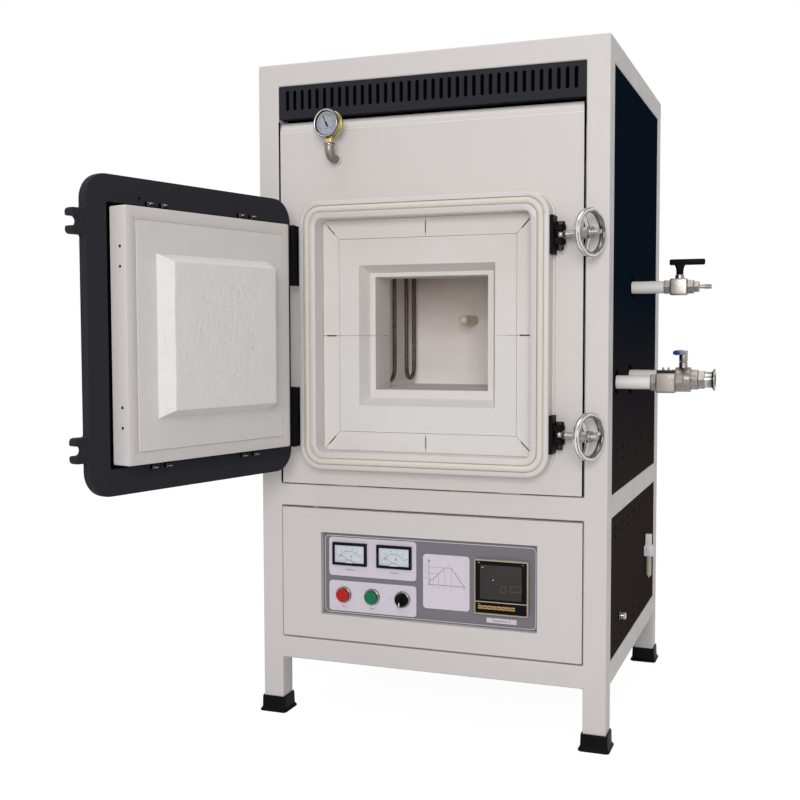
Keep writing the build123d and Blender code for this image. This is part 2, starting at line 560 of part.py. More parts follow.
# ---- swing bolts -----------------------------------------------------------------------
CLEVIS_H, CLEVIS_BASE, LUG_GAP, LUG_THICK, LUG_R, CLEVIS_PIN_R = 64.0, 6.0, 14.6, 8.5, 9.0, 3.0
BALL_R, BALL_H, NECK_R, NECK_END = 7.5, 14.0, 3.8, 11.0
with BuildPart() as clevis_brackets:
    for z in BOLT_HEIGHTS.values():
        with BuildSketch(facing_right(FLANGE_W / 2)):
            with Locations((FRONT - FLANGE_DEPTH / 2 + 0.5, z)):
                Rectangle(30, CLEVIS_H)
        extrude(amount=CLEVIS_BASE)
        for foot in (z - LUG_GAP / 2 - LUG_THICK, z + LUG_GAP / 2):
            with BuildSketch(Plane.XY.offset(foot)):
                with Locations((BOLT_X, BOLT_Y)):
                    Circle(LUG_R)
                with Locations(((FLANGE_W / 2 + BOLT_X) / 2, BOLT_Y)):
                    Rectangle(BOLT_X - FLANGE_W / 2, 2 * LUG_R)
                with Locations((BOLT_X, BOLT_Y)):
                    Circle(CLEVIS_PIN_R + RUNNING, mode=Mode.SUBTRACT)
            extrude(amount=LUG_THICK)
keep(clevis_brackets, "clevis_brackets")

with BuildPart() as pivot_pins:
    for z in HINGE_HEIGHTS:
        with BuildSketch(Plane.XY.offset(z - HINGE_H / 2)):
            with Locations((HINGE_X, HINGE_Y)):
                Circle(PIN_R)
        extrude(amount=HINGE_H)
        with BuildSketch(Plane.XY.offset(z + HINGE_H / 2)):
            with Locations((HINGE_X, HINGE_Y)):
                Circle(PIN_R + 2)
        extrude(amount=2)
    for z in BOLT_HEIGHTS.values():
        lugs_end = LUG_GAP / 2 + LUG_THICK
        with BuildSketch(Plane.XY.offset(z - lugs_end - 11)):
            with Locations((BOLT_X, BOLT_Y)):
                Circle(CLEVIS_PIN_R)
        extrude(amount=2 * lugs_end + 11)
        for foot, radius, height in ((z + lugs_end, 7.5, 6), (z - lugs_end - 10, 4.7, 10)):
            with BuildSketch(Plane.XY.offset(foot)):
                with Locations((BOLT_X, BOLT_Y)):
                    RegularPolygon(radius, 6)
            extrude(amount=height)
keep(pivot_pins, "pivot_pins")


def eye_bolt(height, name):
    """Ball-shaped eye on its pin, necked where it joins the threaded rod."""
    with BuildPart() as bolt:
        with BuildSketch(Plane.XY.offset(height - BALL_H / 2)):
            with Locations((BOLT_X, BOLT_Y)):
                Circle(BALL_R)
        extrude(amount=BALL_H)
        chamfer(bolt.edges().filter_by(GeomType.CIRCLE), length=2)
        with BuildSketch(along_bolt(height, 0)):
            Circle(NECK_R)
        extrude(amount=NECK_END)
        with BuildSketch(along_bolt(height, NECK_END)):
            Circle(ROD_R)
        extrude(amount=ROD_LENGTH - NECK_END)
        with BuildSketch(Plane.XY.offset(height - BALL_H / 2)):
            with Locations((BOLT_X, BOLT_Y)):
                Circle(CLEVIS_PIN_R + RUNNING)
        extrude(amount=BALL_H, mode=Mode.SUBTRACT)
    keep(bolt, name)


def thrust_washer(height, name):
    """Loose washer on the rod that bears on the door's ear."""
    with BuildPart() as washer:
        with BuildSketch(along_bolt(height, WASHER_AT)):
            Circle(10)
            Circle(ROD_R + RUNNING, mode=Mode.SUBTRACT)
        extrude(amount=WASHER_THICK)
    keep(washer, name)


HUB_AT, HUB_LENGTH, HUB_R, RIM_AT, RIM_W, RIM_DEPTH = 41.9, 23.0, 10.0, 59.0, 8.0, 11.0


def handwheel(height, name):
    """Dished three-spoke handwheel with a threaded hub."""
    rim_mid = WHEEL_R - RIM_W / 2
    with BuildPart() as wheel:
        with BuildSketch(along_bolt(height, HUB_AT)):
            Circle(HUB_R)
        extrude(amount=HUB_LENGTH)
        with BuildSketch(along_bolt(height, RIM_AT - RIM_DEPTH / 2)):
            Circle(WHEEL_R)
            Circle(WHEEL_R - RIM_W, mode=Mode.SUBTRACT)
        extrude(amount=RIM_DEPTH)
        chamfer(wheel.edges().filter_by(GeomType.CIRCLE).group_by(SortBy.RADIUS)[-1], length=2.5)
        with BuildSketch(along_bolt(height, RIM_AT - 3)):
            with PolarLocations(rim_mid / 2, 3, start_angle=35):
                Rectangle(rim_mid, 9)
        extrude(amount=5)
        with BuildSketch(along_bolt(height, HUB_AT)):
            Circle(ROD_R + RUNNING)
        extrude(amount=HUB_LENGTH, mode=Mode.SUBTRACT)
    keep(wheel, name)


for place, height in BOLT_HEIGHTS.items():
    eye_bolt(height, f"{place}_eye_bolt")
    thrust_washer(height, f"{place}_thrust_washer")
    handwheel(height, f"{place}_handwheel")

# ---- control recess --------------------------------------------------------------------
PANEL_Y = FRONT + RECESS_DEPTH  # face of the instrument plate
LABEL_THICK, LABEL_R = 0.8, 6.0
METER_XS, METER_Z, METER_W, METER_H, METER_PROUD = (-148.5, -62.3), 305.0, 66.0, 41.0, 6.0
METER_BODY_W, METER_BODY_H = 56.0, 34.0
BUTTON_XS, BUTTON_Z, BEZEL_R, BARREL_R = (-161.0, -105.5, -47.0), 229.5, 15.0, 11.0
CONTROLLER_X, CONTROLLER_Z, CONTROLLER_SIZE, CONTROLLER_BODY = 137.5, 266.0, 96.0, 91.0
label_y = PANEL_Y - LABEL_THICK


def instrument_holes(gap):
    """Cut-outs for the meters and the round controls."""
    with Locations([(x, METER_Z) for x in METER_XS]):
        Rectangle(METER_BODY_W + gap, METER_BODY_H + gap, mode=Mode.SUBTRACT)
    with Locations([(x, BUTTON_Z) for x in BUTTON_XS]):
        Circle(BARREL_R + gap / 2, mode=Mode.SUBTRACT)


with BuildPart() as control_plate:
    with BuildSketch(facing_front(PANEL_Y + 2)):
        with Locations((0, (RECESS_BOTTOM + RECESS_TOP) / 2)):
            Rectangle(RECESS_W + 16, RECESS_TOP - RECESS_BOTTOM + 16)
        instrument_holes(1)
        with Locations((CONTROLLER_X, CONTROLLER_Z)):
            Rectangle(CONTROLLER_BODY + 1, CONTROLLER_BODY + 1, mode=Mode.SUBTRACT)
    extrude(amount=2)
keep(control_plate, "control_plate")

with BuildPart() as label_plates:
    with BuildSketch(facing_front(PANEL_Y)):
        with Locations((-105.5, 299.3)):
            RectangleRounded(169, 70.4, LABEL_R)
        with Locations((-105.5, 227)):
            RectangleRounded(169, 55.5, LABEL_R)
        with Locations((35, 266.3)):
            RectangleRounded(86, 97, LABEL_R)
        with Locations((136, 206)):
            Rectangle(54, 8.4)
        instrument_holes(1)
    extrude(amount=LABEL_THICK)
keep(label_plates, "label_plates")

with BuildPart() as meter_cases:
    with BuildSketch(facing_front(label_y)):
        with Locations([(x, METER_Z) for x in METER_XS]):
            Rectangle(METER_W, METER_H)
    extrude(amount=METER_PROUD)
    with BuildSketch(facing_front(label_y + 34)):
        with Locations([(x, METER_Z) for x in METER_XS]):
            Rectangle(METER_BODY_W, METER_BODY_H)
    extrude(amount=34)
    with BuildSketch(facing_front(label_y - METER_PROUD)):
        with Locations([(x, METER_Z) for x in METER_XS]):
            Rectangle(METER_W - 8, METER_H - 9)
    extrude(amount=-3, mode=Mode.SUBTRACT)
keep(meter_cases, "meter_cases")

NEEDLE_LENGTH, NEEDLE_ANGLE, NEEDLE_W = 22.0, 145.0, 0.9
for x, name in zip(METER_XS, ("voltmeter_needle", "ammeter_needle")):
    with BuildPart() as needle:
        with BuildSketch(facing_front(label_y - METER_PROUD + 2.4)):
            with Locations((x, METER_Z - 13)):
                Circle(1.6)
                with PolarLocations(NEEDLE_LENGTH / 2, 1, start_angle=NEEDLE_ANGLE):
                    Rectangle(NEEDLE_LENGTH, NEEDLE_W)
        extrude(amount=0.8)
    keep(needle, name)

BEZEL_PROUD, CAP_R, CAP_TRAVEL, STEM_R = 5.0, 11.7, 3.0, 8.0
with BuildPart() as button_bezels:
    for start, radius, length in ((label_y, BEZEL_R, BEZEL_PROUD), (label_y + 38, BARREL_R, 38)):
        with BuildSketch(facing_front(start)):
            with Locations([(x, BUTTON_Z) for x in BUTTON_XS]):
                Circle(radius)
        extrude(amount=length)
    for radius, length in ((CAP_R + 0.4, 3.8), (STEM_R + 0.4, 11.0)):
        with BuildSketch(facing_front(label_y - BEZEL_PROUD)):
            with Locations([(x, BUTTON_Z) for x in BUTTON_XS]):
                Circle(radius)
        extrude(amount=-length, mode=Mode.SUBTRACT)
keep(button_bezels, "button_bezels")

cap_back = label_y - BEZEL_PROUD - 0.5
for x, name in zip(BUTTON_XS, ("stop_button", "start_button")):
    with BuildPart() as button:
        with BuildSketch(facing_front(cap_back)):
            with Locations((x, BUTTON_Z)):
                Circle(CAP_R)
        extrude(amount=6)
        chamfer(button.edges().filter_by(GeomType.CIRCLE).sort_by(Axis.Y)[0], length=0.8)
        with BuildSketch(facing_front(cap_back + 6.3)):
            with Locations((x, BUTTON_Z)):
                Circle(STEM_R)
        extrude(amount=6.3)
    keep(button, name)

with BuildPart() as selector_knob:
    with BuildSketch(facing_front(cap_back)):
        with Locations((BUTTON_XS[2], BUTTON_Z)):
            Circle(CAP_R)
    extrude(amount=5)
    with BuildSketch(facing_front(cap_back - 5)):
        with Locations((BUTTON_XS[2], BUTTON_Z)):
            SlotOverall(2 * CAP_R, 8, rotation=90)
    extrude(amount=9)
    with BuildSketch(facing_front(cap_back + 6.3)):
        with Locations((BUTTON_XS[2], BUTTON_Z)):
            Circle(STEM_R)
    extrude(amount=6.3)
keep(selector_knob, "selector_knob")

with BuildPart() as controller_case:
    with BuildSketch(facing_front(PANEL_Y)):
        with Locations((CONTROLLER_X, CONTROLLER_Z)):
            RectangleRounded(CONTROLLER_SIZE, CONTROLLER_SIZE, 3)
    extrude(amount=RECESS_DEPTH)
    with BuildSketch(facing_front(FRONT)):
        with Locations((CONTROLLER_X, CONTROLLER_Z + 9.5)):
            Rectangle(CONTROLLER_SIZE - 8, CONTROLLER_SIZE - 27)
        with Locations((CONTROLLER_X, CONTROLLER_Z - 35.5)):
            Rectangle(CONTROLLER_SIZE - 8, 17)
    extrude(amount=-1.5, mode=Mode.SUBTRACT)
    with BuildSketch(facing_front(PANEL_Y + 80)):
        with Locations((CONTROLLER_X, CONTROLLER_Z)):
            Rectangle(CONTROLLER_BODY, CONTROLLER_BODY)
    extrude(amount=80)
keep(controller_case, "controller_case")

# ---- pressure gauge --------------------------------------------------------------------
gauge_turn = radians(GAUGE_TURN)


def facing_gauge(depth):
    """Plane of the gauge's dial, depth millimetres in front of its stem."""
    out = Vector(-sin(gauge_turn), -cos(gauge_turn), 0)
    spot = Vector(GAUGE_X, GAUGE_Y, GAUGE_Z) + out * depth
    return Plane(origin=spot, x_dir=(cos(gauge_turn), -sin(gauge_turn), 0), z_dir=out)


STEM_TOP, STEM_BOTTOM, ELBOW_R, ELBOW_BEND = GAUGE_Z - 18.0, 1038.0, 8.0, 16.0
with BuildPart() as gauge_case:
    for start, radius, length in ((-8, 24.2, 4), (-5, 22.5, 13), (7, GAUGE_R, 6)):
        with BuildSketch(facing_gauge(start)):
            Circle(radius)
        extrude(amount=length)
    with BuildSketch(facing_gauge(13)):
        Circle(GAUGE_R - 3.5)
    extrude(amount=-4, mode=Mode.SUBTRACT)
    with BuildSketch(Plane.XY.offset(STEM_BOTTOM)):
        with Locations((GAUGE_X, GAUGE_Y)):
            Rectangle(11, 11)
    extrude(amount=STEM_TOP - STEM_BOTTOM)
keep(gauge_case, "gauge_case")

with BuildPart() as gauge_needle:
    with BuildSketch(facing_gauge(9.4)):
        Circle(2)
        with PolarLocations(5, 1, start_angle=116):
            Rectangle(24, 1.1)
    extrude(amount=0.8)
keep(gauge_needle, "gauge_needle")

with BuildPart() as gauge_elbow:
    with BuildLine(facing_right(GAUGE_X)):
        Line((GAUGE_Y, STEM_BOTTOM), (GAUGE_Y, GAUGE_PORT_Z + ELBOW_BEND))
        CenterArc((GAUGE_Y + ELBOW_BEND, GAUGE_PORT_Z + ELBOW_BEND), ELBOW_BEND, 180, 90)
        Line((GAUGE_Y + ELBOW_BEND, GAUGE_PORT_Z), (FRONT, GAUGE_PORT_Z))
    with BuildSketch(Plane.XY.offset(STEM_BOTTOM)):
        with Locations((GAUGE_X, GAUGE_Y)):
            Circle(ELBOW_R)
    sweep()
    with BuildSketch(Plane.XY.offset(STEM_BOTTOM)):
        with Locations((GAUGE_X, GAUGE_Y)):
            Circle(ELBOW_R + 2)
    extrude(amount=-6)
    with BuildSketch(facing_front(FRONT)):
        with Locations((GAUGE_X, GAUGE_PORT_Z)):
            Circle(ELBOW_R + 2)
    extrude(amount=7)
    with BuildSketch(facing_front(FRONT + 12)):
        with Locations((GAUGE_X, GAUGE_PORT_Z)):
            Circle(7)
    extrude(amount=12)
keep(gauge_elbow, "gauge_elbow")

# ---- gas and vacuum fittings on the right side -----------------------------------------
PIPE_WALL = 3.0
PIPE_ENDS = {"gas_outlet": 376.7, "relief": 376.7, "vacuum": 394.0}


def along_pipe(start, end, radius, sides=0, mode=Mode.ADD, spot=(0, 0)):
    """Round or polygonal length on a pipe's axis, from start to end."""
    with BuildSketch(facing_right(start)) as profile:
        with Locations(spot):
            if sides:
                RegularPolygon(radius, sides)
            else:
                Circle(radius)
    extrude(profile.sketch, amount=end - start, mode=mode)


with BuildPart() as side_pipes:
    for name, (y, z, radius) in PIPES.items():
        along_pipe(OPENING_W / 2 + VESSEL_WALL, PIPE_ENDS[name], radius, spot=(y, z))
        along_pipe(OPENING_W / 2, PIPE_ENDS[name], radius - PIPE_WALL, mode=Mode.SUBTRACT, spot=(y, z))
keep(side_pipes, "side_pipes")

OUTLET_STEM_X, OUTLET_BODY, BARB_R, BARB_ROOT, BARB_END = 404.0, 15.0, 3.6, 438.6, 460.3
RIDGES, RIDGE_R, RIDGE_LAND, RIDGE_SLOPE = (448.6, 452.6, 456.6), 4.5, 1.5, 2.0
gas_y, gas_z = PIPES["gas_outlet"][:2]
gas_spot = (gas_y, gas_z)
with BuildPart() as outlet_valve_body:
    along_pipe(376.7, 388.4, 14.0, sides=6, spot=gas_spot)
    with BuildSketch(facing_right(388.4)):
        with Locations(gas_spot):
            Rectangle(2 * OUTLET_BODY, 2 * OUTLET_BODY)
    extrude(amount=29.6)
    along_pipe(418.0, 429.6, 14.0, sides=6, spot=gas_spot)
    with BuildSketch(Plane.XY.offset(gas_z)):
        with Locations((OUTLET_STEM_X, gas_y)):
            Circle(8)
    extrude(amount=OUTLET_BODY + 7)
    with BuildSketch(Plane.XY.offset(gas_z + OUTLET_BODY)):
        with Locations((OUTLET_STEM_X, gas_y)):
            Circle(3)
    extrude(amount=20)
keep(outlet_valve_body, "outlet_valve_body")

with BuildPart() as hose_barb:
    along_pipe(429.6, BARB_ROOT, 11.0, sides=6, spot=gas_spot)
    along_pipe(BARB_ROOT, BARB_END, BARB_R, spot=gas_spot)
    for ridge in RIDGES:
        land_end = ridge + RIDGE_LAND
        along_pipe(ridge, land_end, RIDGE_R, spot=gas_spot)
        with BuildSketch(facing_right(land_end)):
            with Locations(gas_spot):
                Circle(RIDGE_R)
        with BuildSketch(facing_right(land_end + RIDGE_SLOPE)):
            with Locations(gas_spot):
                Circle(BARB_R)
        loft()
    along_pipe(429.6, BARB_END, 2.0, mode=Mode.SUBTRACT, spot=gas_spot)
keep(hose_barb, "hose_barb")

HANDLE_BASE = gas_z + OUTLET_BODY + 7.4
with BuildPart() as outlet_valve_handle:
    with BuildSketch(Plane.XY.offset(HANDLE_BASE)):
        with Locations((OUTLET_STEM_X, gas_y)):
            Circle(6.5)
    extrude(amount=834 - HANDLE_BASE)
    with BuildSketch(Plane.XY.offset(827.5)):
        with Locations((OUTLET_STEM_X + 13, gas_y)):
            RectangleRounded(63, 13, 4)
    extrude(amount=10.5)
    with BuildSketch(Plane.XY.offset(HANDLE_BASE)):
        with Locations((OUTLET_STEM_X, gas_y)):
            Circle(3 + RUNNING)
    extrude(amount=gas_z + OUTLET_BODY + 20.4 - HANDLE_BASE, mode=Mode.SUBTRACT)
keep(outlet_valve_handle, "outlet_valve_handle")

relief_y, relief_z = PIPES["relief"][:2]
relief_spot = (relief_y, relief_z)
with BuildPart() as relief_valve:
    along_pipe(376.7, 387.0, 15.5, sides=6, spot=relief_spot)
    with BuildSketch(facing_right(387.0)):
        with Locations(relief_spot):
            Rectangle(34, 34)
    extrude(amount=31)
    with BuildSketch(Plane.XY.offset(relief_z + 17)):
        with Locations((402.5, relief_y)):
            Rectangle(30, 30)
    extrude(amount=4)
    with BuildSketch(Plane.XY.offset(relief_z + 17)):
        with Locations((397, relief_y), (406, relief_y)):
            Circle(2.2)
    extrude(amount=9)
    along_pipe(418.0, 430.0, 15.0, sides=6, spot=relief_spot)
    along_pipe(412.0, 430.0, 8.0, mode=Mode.SUBTRACT, spot=relief_spot)
keep(relief_valve, "relief_valve")

VACUUM_STEM_X, VACUUM_BODY_R, PORT_R, FLANGE_KF_R = 414.0, 22.5, 12.5, 20.0
vacuum_y, vacuum_z = PIPES["vacuum"][:2]
vacuum_spot = (vacuum_y, vacuum_z)
with BuildPart() as vacuum_valve_body:
    along_pipe(394.0, 401.0, 20.5, sides=6, spot=vacuum_spot)
    along_pipe(401.0, 428.0, VACUUM_BODY_R, spot=vacuum_spot)
    along_pipe(428.0, 441.0, 20.0, sides=6, spot=vacuum_spot)
    with BuildSketch(Plane.XY.offset(vacuum_z)):
        with Locations((VACUUM_STEM_X, vacuum_y)):
            Circle(7.5)
    extrude(amount=32)
    with BuildSketch(Plane.XY.offset(vacuum_z)):
        with Locations((VACUUM_STEM_X, vacuum_y)):
            Circle(4)
    extrude(amount=42)
    along_pipe(428.0, 441.0, PORT_R, mode=Mode.SUBTRACT, spot=vacuum_spot)
keep(vacuum_valve_body, "vacuum_valve_body")

LEVER_BASE, LEVER_REACH = vacuum_z + 32.4, 112.0
with BuildPart() as vacuum_valve_lever:
    with BuildSketch(Plane.XY.offset(LEVER_BASE)):
        with Locations((VACUUM_STEM_X, vacuum_y)):
            Circle(7.5)
    extrude(amount=20)
    with BuildSketch(Plane.XY.offset(LEVER_BASE + 16)):
        with Locations((VACUUM_STEM_X, vacuum_y - 50)):
            Rectangle(11, 100)
    extrude(amount=3)
    with BuildSketch(Plane.XY.offset(LEVER_BASE + 13)):
        with Locations((VACUUM_STEM_X, vacuum_y - LEVER_REACH + 40)):
            RectangleRounded(14, 80, 6)
    extrude(amount=9)
    with BuildSketch(Plane.XY.offset(LEVER_BASE)):
        with Locations((VACUUM_STEM_X, vacuum_y)):
            Circle(4 + RUNNING)
    extrude(amount=10, mode=Mode.SUBTRACT)
keep(vacuum_valve_lever, "vacuum_valve_lever")

KF_FACE = 470.0
with BuildPart() as vacuum_flange:
    along_pipe(441.0, 453.0, 18.4, sides=6, spot=vacuum_spot)
    along_pipe(453.0, KF_FACE - 5.0, 14.5, spot=vacuum_spot)
    with BuildSketch(facing_right(KF_FACE - 5.0)):
        with Locations(vacuum_spot):
            Circle(14.6)
    with BuildSketch(facing_right(KF_FACE - 2.5)):
        with Locations(vacuum_spot):
            Circle(FLANGE_KF_R)
    loft()
    along_pipe(KF_FACE - 2.5, KF_FACE, FLANGE_KF_R, spot=vacuum_spot)
    along_pipe(441.0, KF_FACE, PORT_R, mode=Mode.SUBTRACT, spot=vacuum_spot)
keep(vacuum_flange, "vacuum_flange")

# ---- small fittings on the covers ------------------------------------------------------
with BuildPart() as panel_lock:
    along_pipe(PANEL_FACE + 0.3, PANEL_FACE + 13, LOCK_R, spot=(LOCK_Y, LOCK_Z))
    along_pipe(PANEL_FACE - 8, PANEL_FACE + 1, LOCK_STEM_R, spot=(LOCK_Y, LOCK_Z))
    with BuildSketch(facing_right(PANEL_FACE - 8)):
        with Locations((LOCK_Y, LOCK_Z - 8)):
            Rectangle(10, 26)
    extrude(amount=3)
keep(panel_lock, "panel_lock")

FILTER_Y, FILTER_BOTTOM = 137.0, 210.0
with BuildPart() as gas_filter:
    with BuildSketch(Plane.XY.offset(FILTER_BOTTOM + 44)):
        with Locations((PANEL_FACE + 9, FILTER_Y)):
            Rectangle(18, 20)
    extrude(amount=22)
    with BuildSketch(Plane.XY.offset(FILTER_BOTTOM + 66)):
        with Locations((PANEL_FACE + 8, FILTER_Y)):
            RectangleRounded(12, 12, 3)
    extrude(amount=23)
    with BuildSketch(Plane.XY.offset(FILTER_BOTTOM)):
        with Locations((PANEL_FACE + 9, FILTER_Y)):
            Circle(5)
    extrude(amount=44)
    with BuildSketch(facing_front(FILTER_Y - 10)):
        with Locations((PANEL_FACE + 9, FILTER_BOTTOM + 58)):
            Circle(2.5)
    extrude(amount=12)
keep(gas_filter, "gas_filter")

with BuildPart() as cable_gland:
    for start, radius, length, sides in ((286.0, 12.0, 14.0, 0), (292.0, 16.0, 6.0, 6), (298.0, 13.5, 14.0, 0)):
        with BuildSketch(facing_front(start + length)):
            with Locations((GLAND_X, GLAND_Z)):
                if sides:
                    RegularPolygon(radius, sides)
                else:
                    Circle(radius)
        extrude(amount=length)
    with BuildSketch(facing_front(312.0)):
        with Locations((GLAND_X, GLAND_Z)):
            Circle(GLAND_BORE)
    extrude(amount=26, mode=Mode.SUBTRACT)
keep(cable_gland, "cable_gland")
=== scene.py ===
from math import cos, pi, radians, sin, tau

import bmesh
import bpy
import numpy as np
from bpy.props import FloatProperty, FloatVectorProperty, IntProperty, PointerProperty
from mathutils import Matrix, Vector


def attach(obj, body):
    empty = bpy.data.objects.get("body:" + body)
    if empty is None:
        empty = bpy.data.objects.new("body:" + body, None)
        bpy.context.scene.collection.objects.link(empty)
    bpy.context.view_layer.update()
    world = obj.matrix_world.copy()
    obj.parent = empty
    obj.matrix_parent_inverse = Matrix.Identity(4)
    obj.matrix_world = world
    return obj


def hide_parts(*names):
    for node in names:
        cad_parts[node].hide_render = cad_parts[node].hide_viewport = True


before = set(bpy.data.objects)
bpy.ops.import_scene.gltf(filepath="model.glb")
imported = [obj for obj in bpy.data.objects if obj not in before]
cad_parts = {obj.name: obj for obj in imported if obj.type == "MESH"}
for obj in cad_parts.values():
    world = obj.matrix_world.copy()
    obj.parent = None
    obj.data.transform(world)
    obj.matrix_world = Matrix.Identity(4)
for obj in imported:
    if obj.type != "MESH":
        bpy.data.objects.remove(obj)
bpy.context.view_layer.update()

bl_info = {
    "name": "Swing-Bolt Muffle Furnace",
    "version": (1, 0, 0),
    "blender": (4, 5, 0),
    "location": "View3D > Sidebar > Furnace",
    "description": "Builds the visible pieces and finishes of a gas-tight muffle furnace",
    "category": "Object",
}

MM = 0.001  # shapes are worked out in millimetres and stored in metres
PALETTE = {}  # finishes by name, made by mix_finishes

# ---- places, all in the furnace's own frame ---------------------------------------------
SIDE, DEPTH, TUBE = 320.0, 300.0, 40.0  # outsides of the posts from the middle, and the width of their tube
RAILS, POST_FOOT = (105.0, 390.0, 1150.0), 7.0  # undersides of the rails, lower ends of the posts
COVER_FACE = 318.5  # the side covers sit back from the tube
SEAM_X, SEAM_MID, SEAM_LENGTH = 278.4, 759.5, 655.0  # dark gaps beside the front plate
FASCIA_EDGES = (147.6, 387.4)
SLOTS, SLOT_PITCH, SLOT_MID, SLOT_W, SLOT_H = 37, 14.6, 1124.0, 5.5, 34.7  # slots of the vent grille
HINGE = (-236.0, -338.0)  # the door's axis, X and Y
HINGE_HEIGHTS, HINGE_PIN_HALF = (843.0, 556.0), 52.5
DOOR_TURN = radians(-104.0)
BOLT = (242.0, -316.0)  # pivots of the swing bolts, X and Y
BOLT_TURN = radians(65.8)
BOLT_HEIGHTS = {"upper": 866.0, "lower": 536.0}
DOOR_Z = 701.0  # height of the middle of the door and the flange
DOOR_HALF = (227.0, 238.0)  # half width and half height of the plate
BOARD_W, BOARD_H = 326.0, 342.0
PLUG_HALF, PLUG_ROOT_HALF, PLUG_FACE = (114.2, 111.4), (124.7, 123.8), -66.2
# clips of the door trim, height: places along the door
CLIPS = {901.6: (344.0, 315.0, 141.0, 112.0), 500.0: (341.0, 312.0, 139.0, 110.0)}
HOLE = (360.0, 908.5)  # small hole near the top of the door plate
TRAY_SCREWS = (832.5, 803.0, 596.0, 566.0)
ROD_XS, ROD_YS, ROD_BEND = (-120.0, 120.0), (-155.5, -45.5), 22.0
GAUGE = (-165.5, -333.0, 1070.5)  # middle of the gauge's case
GAUGE_TURN = radians(9.0)
GAS_AXIS, RELIEF_AXIS, VACUUM_AXIS = (-54.0, 788.0), (-215.0, 620.5), (-70.5, 620.5)
# axis of each side pipe, its radius and the reach of the painted shadow in the gap round it
PIPE_GAPS = ((GAS_AXIS, 11.3, 19.0), (RELIEF_AXIS, 11.7, 21.0), (VACUUM_AXIS, 17.1, 27.0))
METER_SWEEP, GAUGE_SWEEP = (145, 35), (225, -45)  # first and last angle of the scales
PROBE = (-2.0, 731.0)  # the thermocouple's axis, X and height
METERS = (("voltmeter", "V", -148.5), ("ammeter", "A", -62.3))
BUTTON_XS, BUTTON_Z = (-161.0, -105.5, -47.0), 229.5
CONTROLLER = (137.5, 266.0)
LABEL_FACE = 288.8  # front of the printed plates
DIAGRAM = (3.0, 260.5)  # origin of the firing diagram
LOCK, GLAND, FILTER = (-174.0, 205.0), (-180.0, 200.0), (327.5, 137.0)


class Place:
    """Axes that carry local millimetres into the furnace's frame."""

    def __init__(self, origin, x, z):
        self.origin, self.x, self.z = (np.array(v, float) for v in (origin, x, z))
        self.y = np.cross(self.z, self.x)

    def __call__(self, points):
        points = np.asarray(points, float)
        return (self.origin + points[..., :1] * self.x + points[..., 1:2] * self.y
                + points[..., 2:3] * self.z)

    def moved(self, x=0.0, y=0.0, z=0.0):
        """The same axes from another origin, given in local millimetres."""
        return Place(self(np.array([x, y, z], float)), self.x, self.z)


UP = Place((0, 0, 0), (1, 0, 0), (0, 0, 1))
FRONT = Place((0, 0, 0), (1, 0, 0), (0, -1, 0))  # x is X, y is height, z is towards the operator
RIGHT = Place((0, 0, 0), (0, 1, 0), (1, 0, 0))  # x is Y, y is height, z is to the right
BACK = Place((0, 0, 0), (-1, 0, 0), (0, 1, 0))
DOOR = Place((HINGE[0], HINGE[1], 0), (cos(DOOR_TURN), sin(DOOR_TURN), 0),
             (sin(DOOR_TURN), -cos(DOOR_TURN), 0))
DIAL = Place(GAUGE, (cos(GAUGE_TURN), -sin(GAUGE_TURN), 0), (-sin(GAUGE_TURN), -cos(GAUGE_TURN), 0))


def bolt_place(level):
    """Axes of a swing bolt: x is up and z runs out along its rod from the pivot."""
    return Place((BOLT[0], BOLT[1], BOLT_HEIGHTS[level]), (0, 0, 1), (sin(BOLT_TURN), -cos(BOLT_TURN), 0))


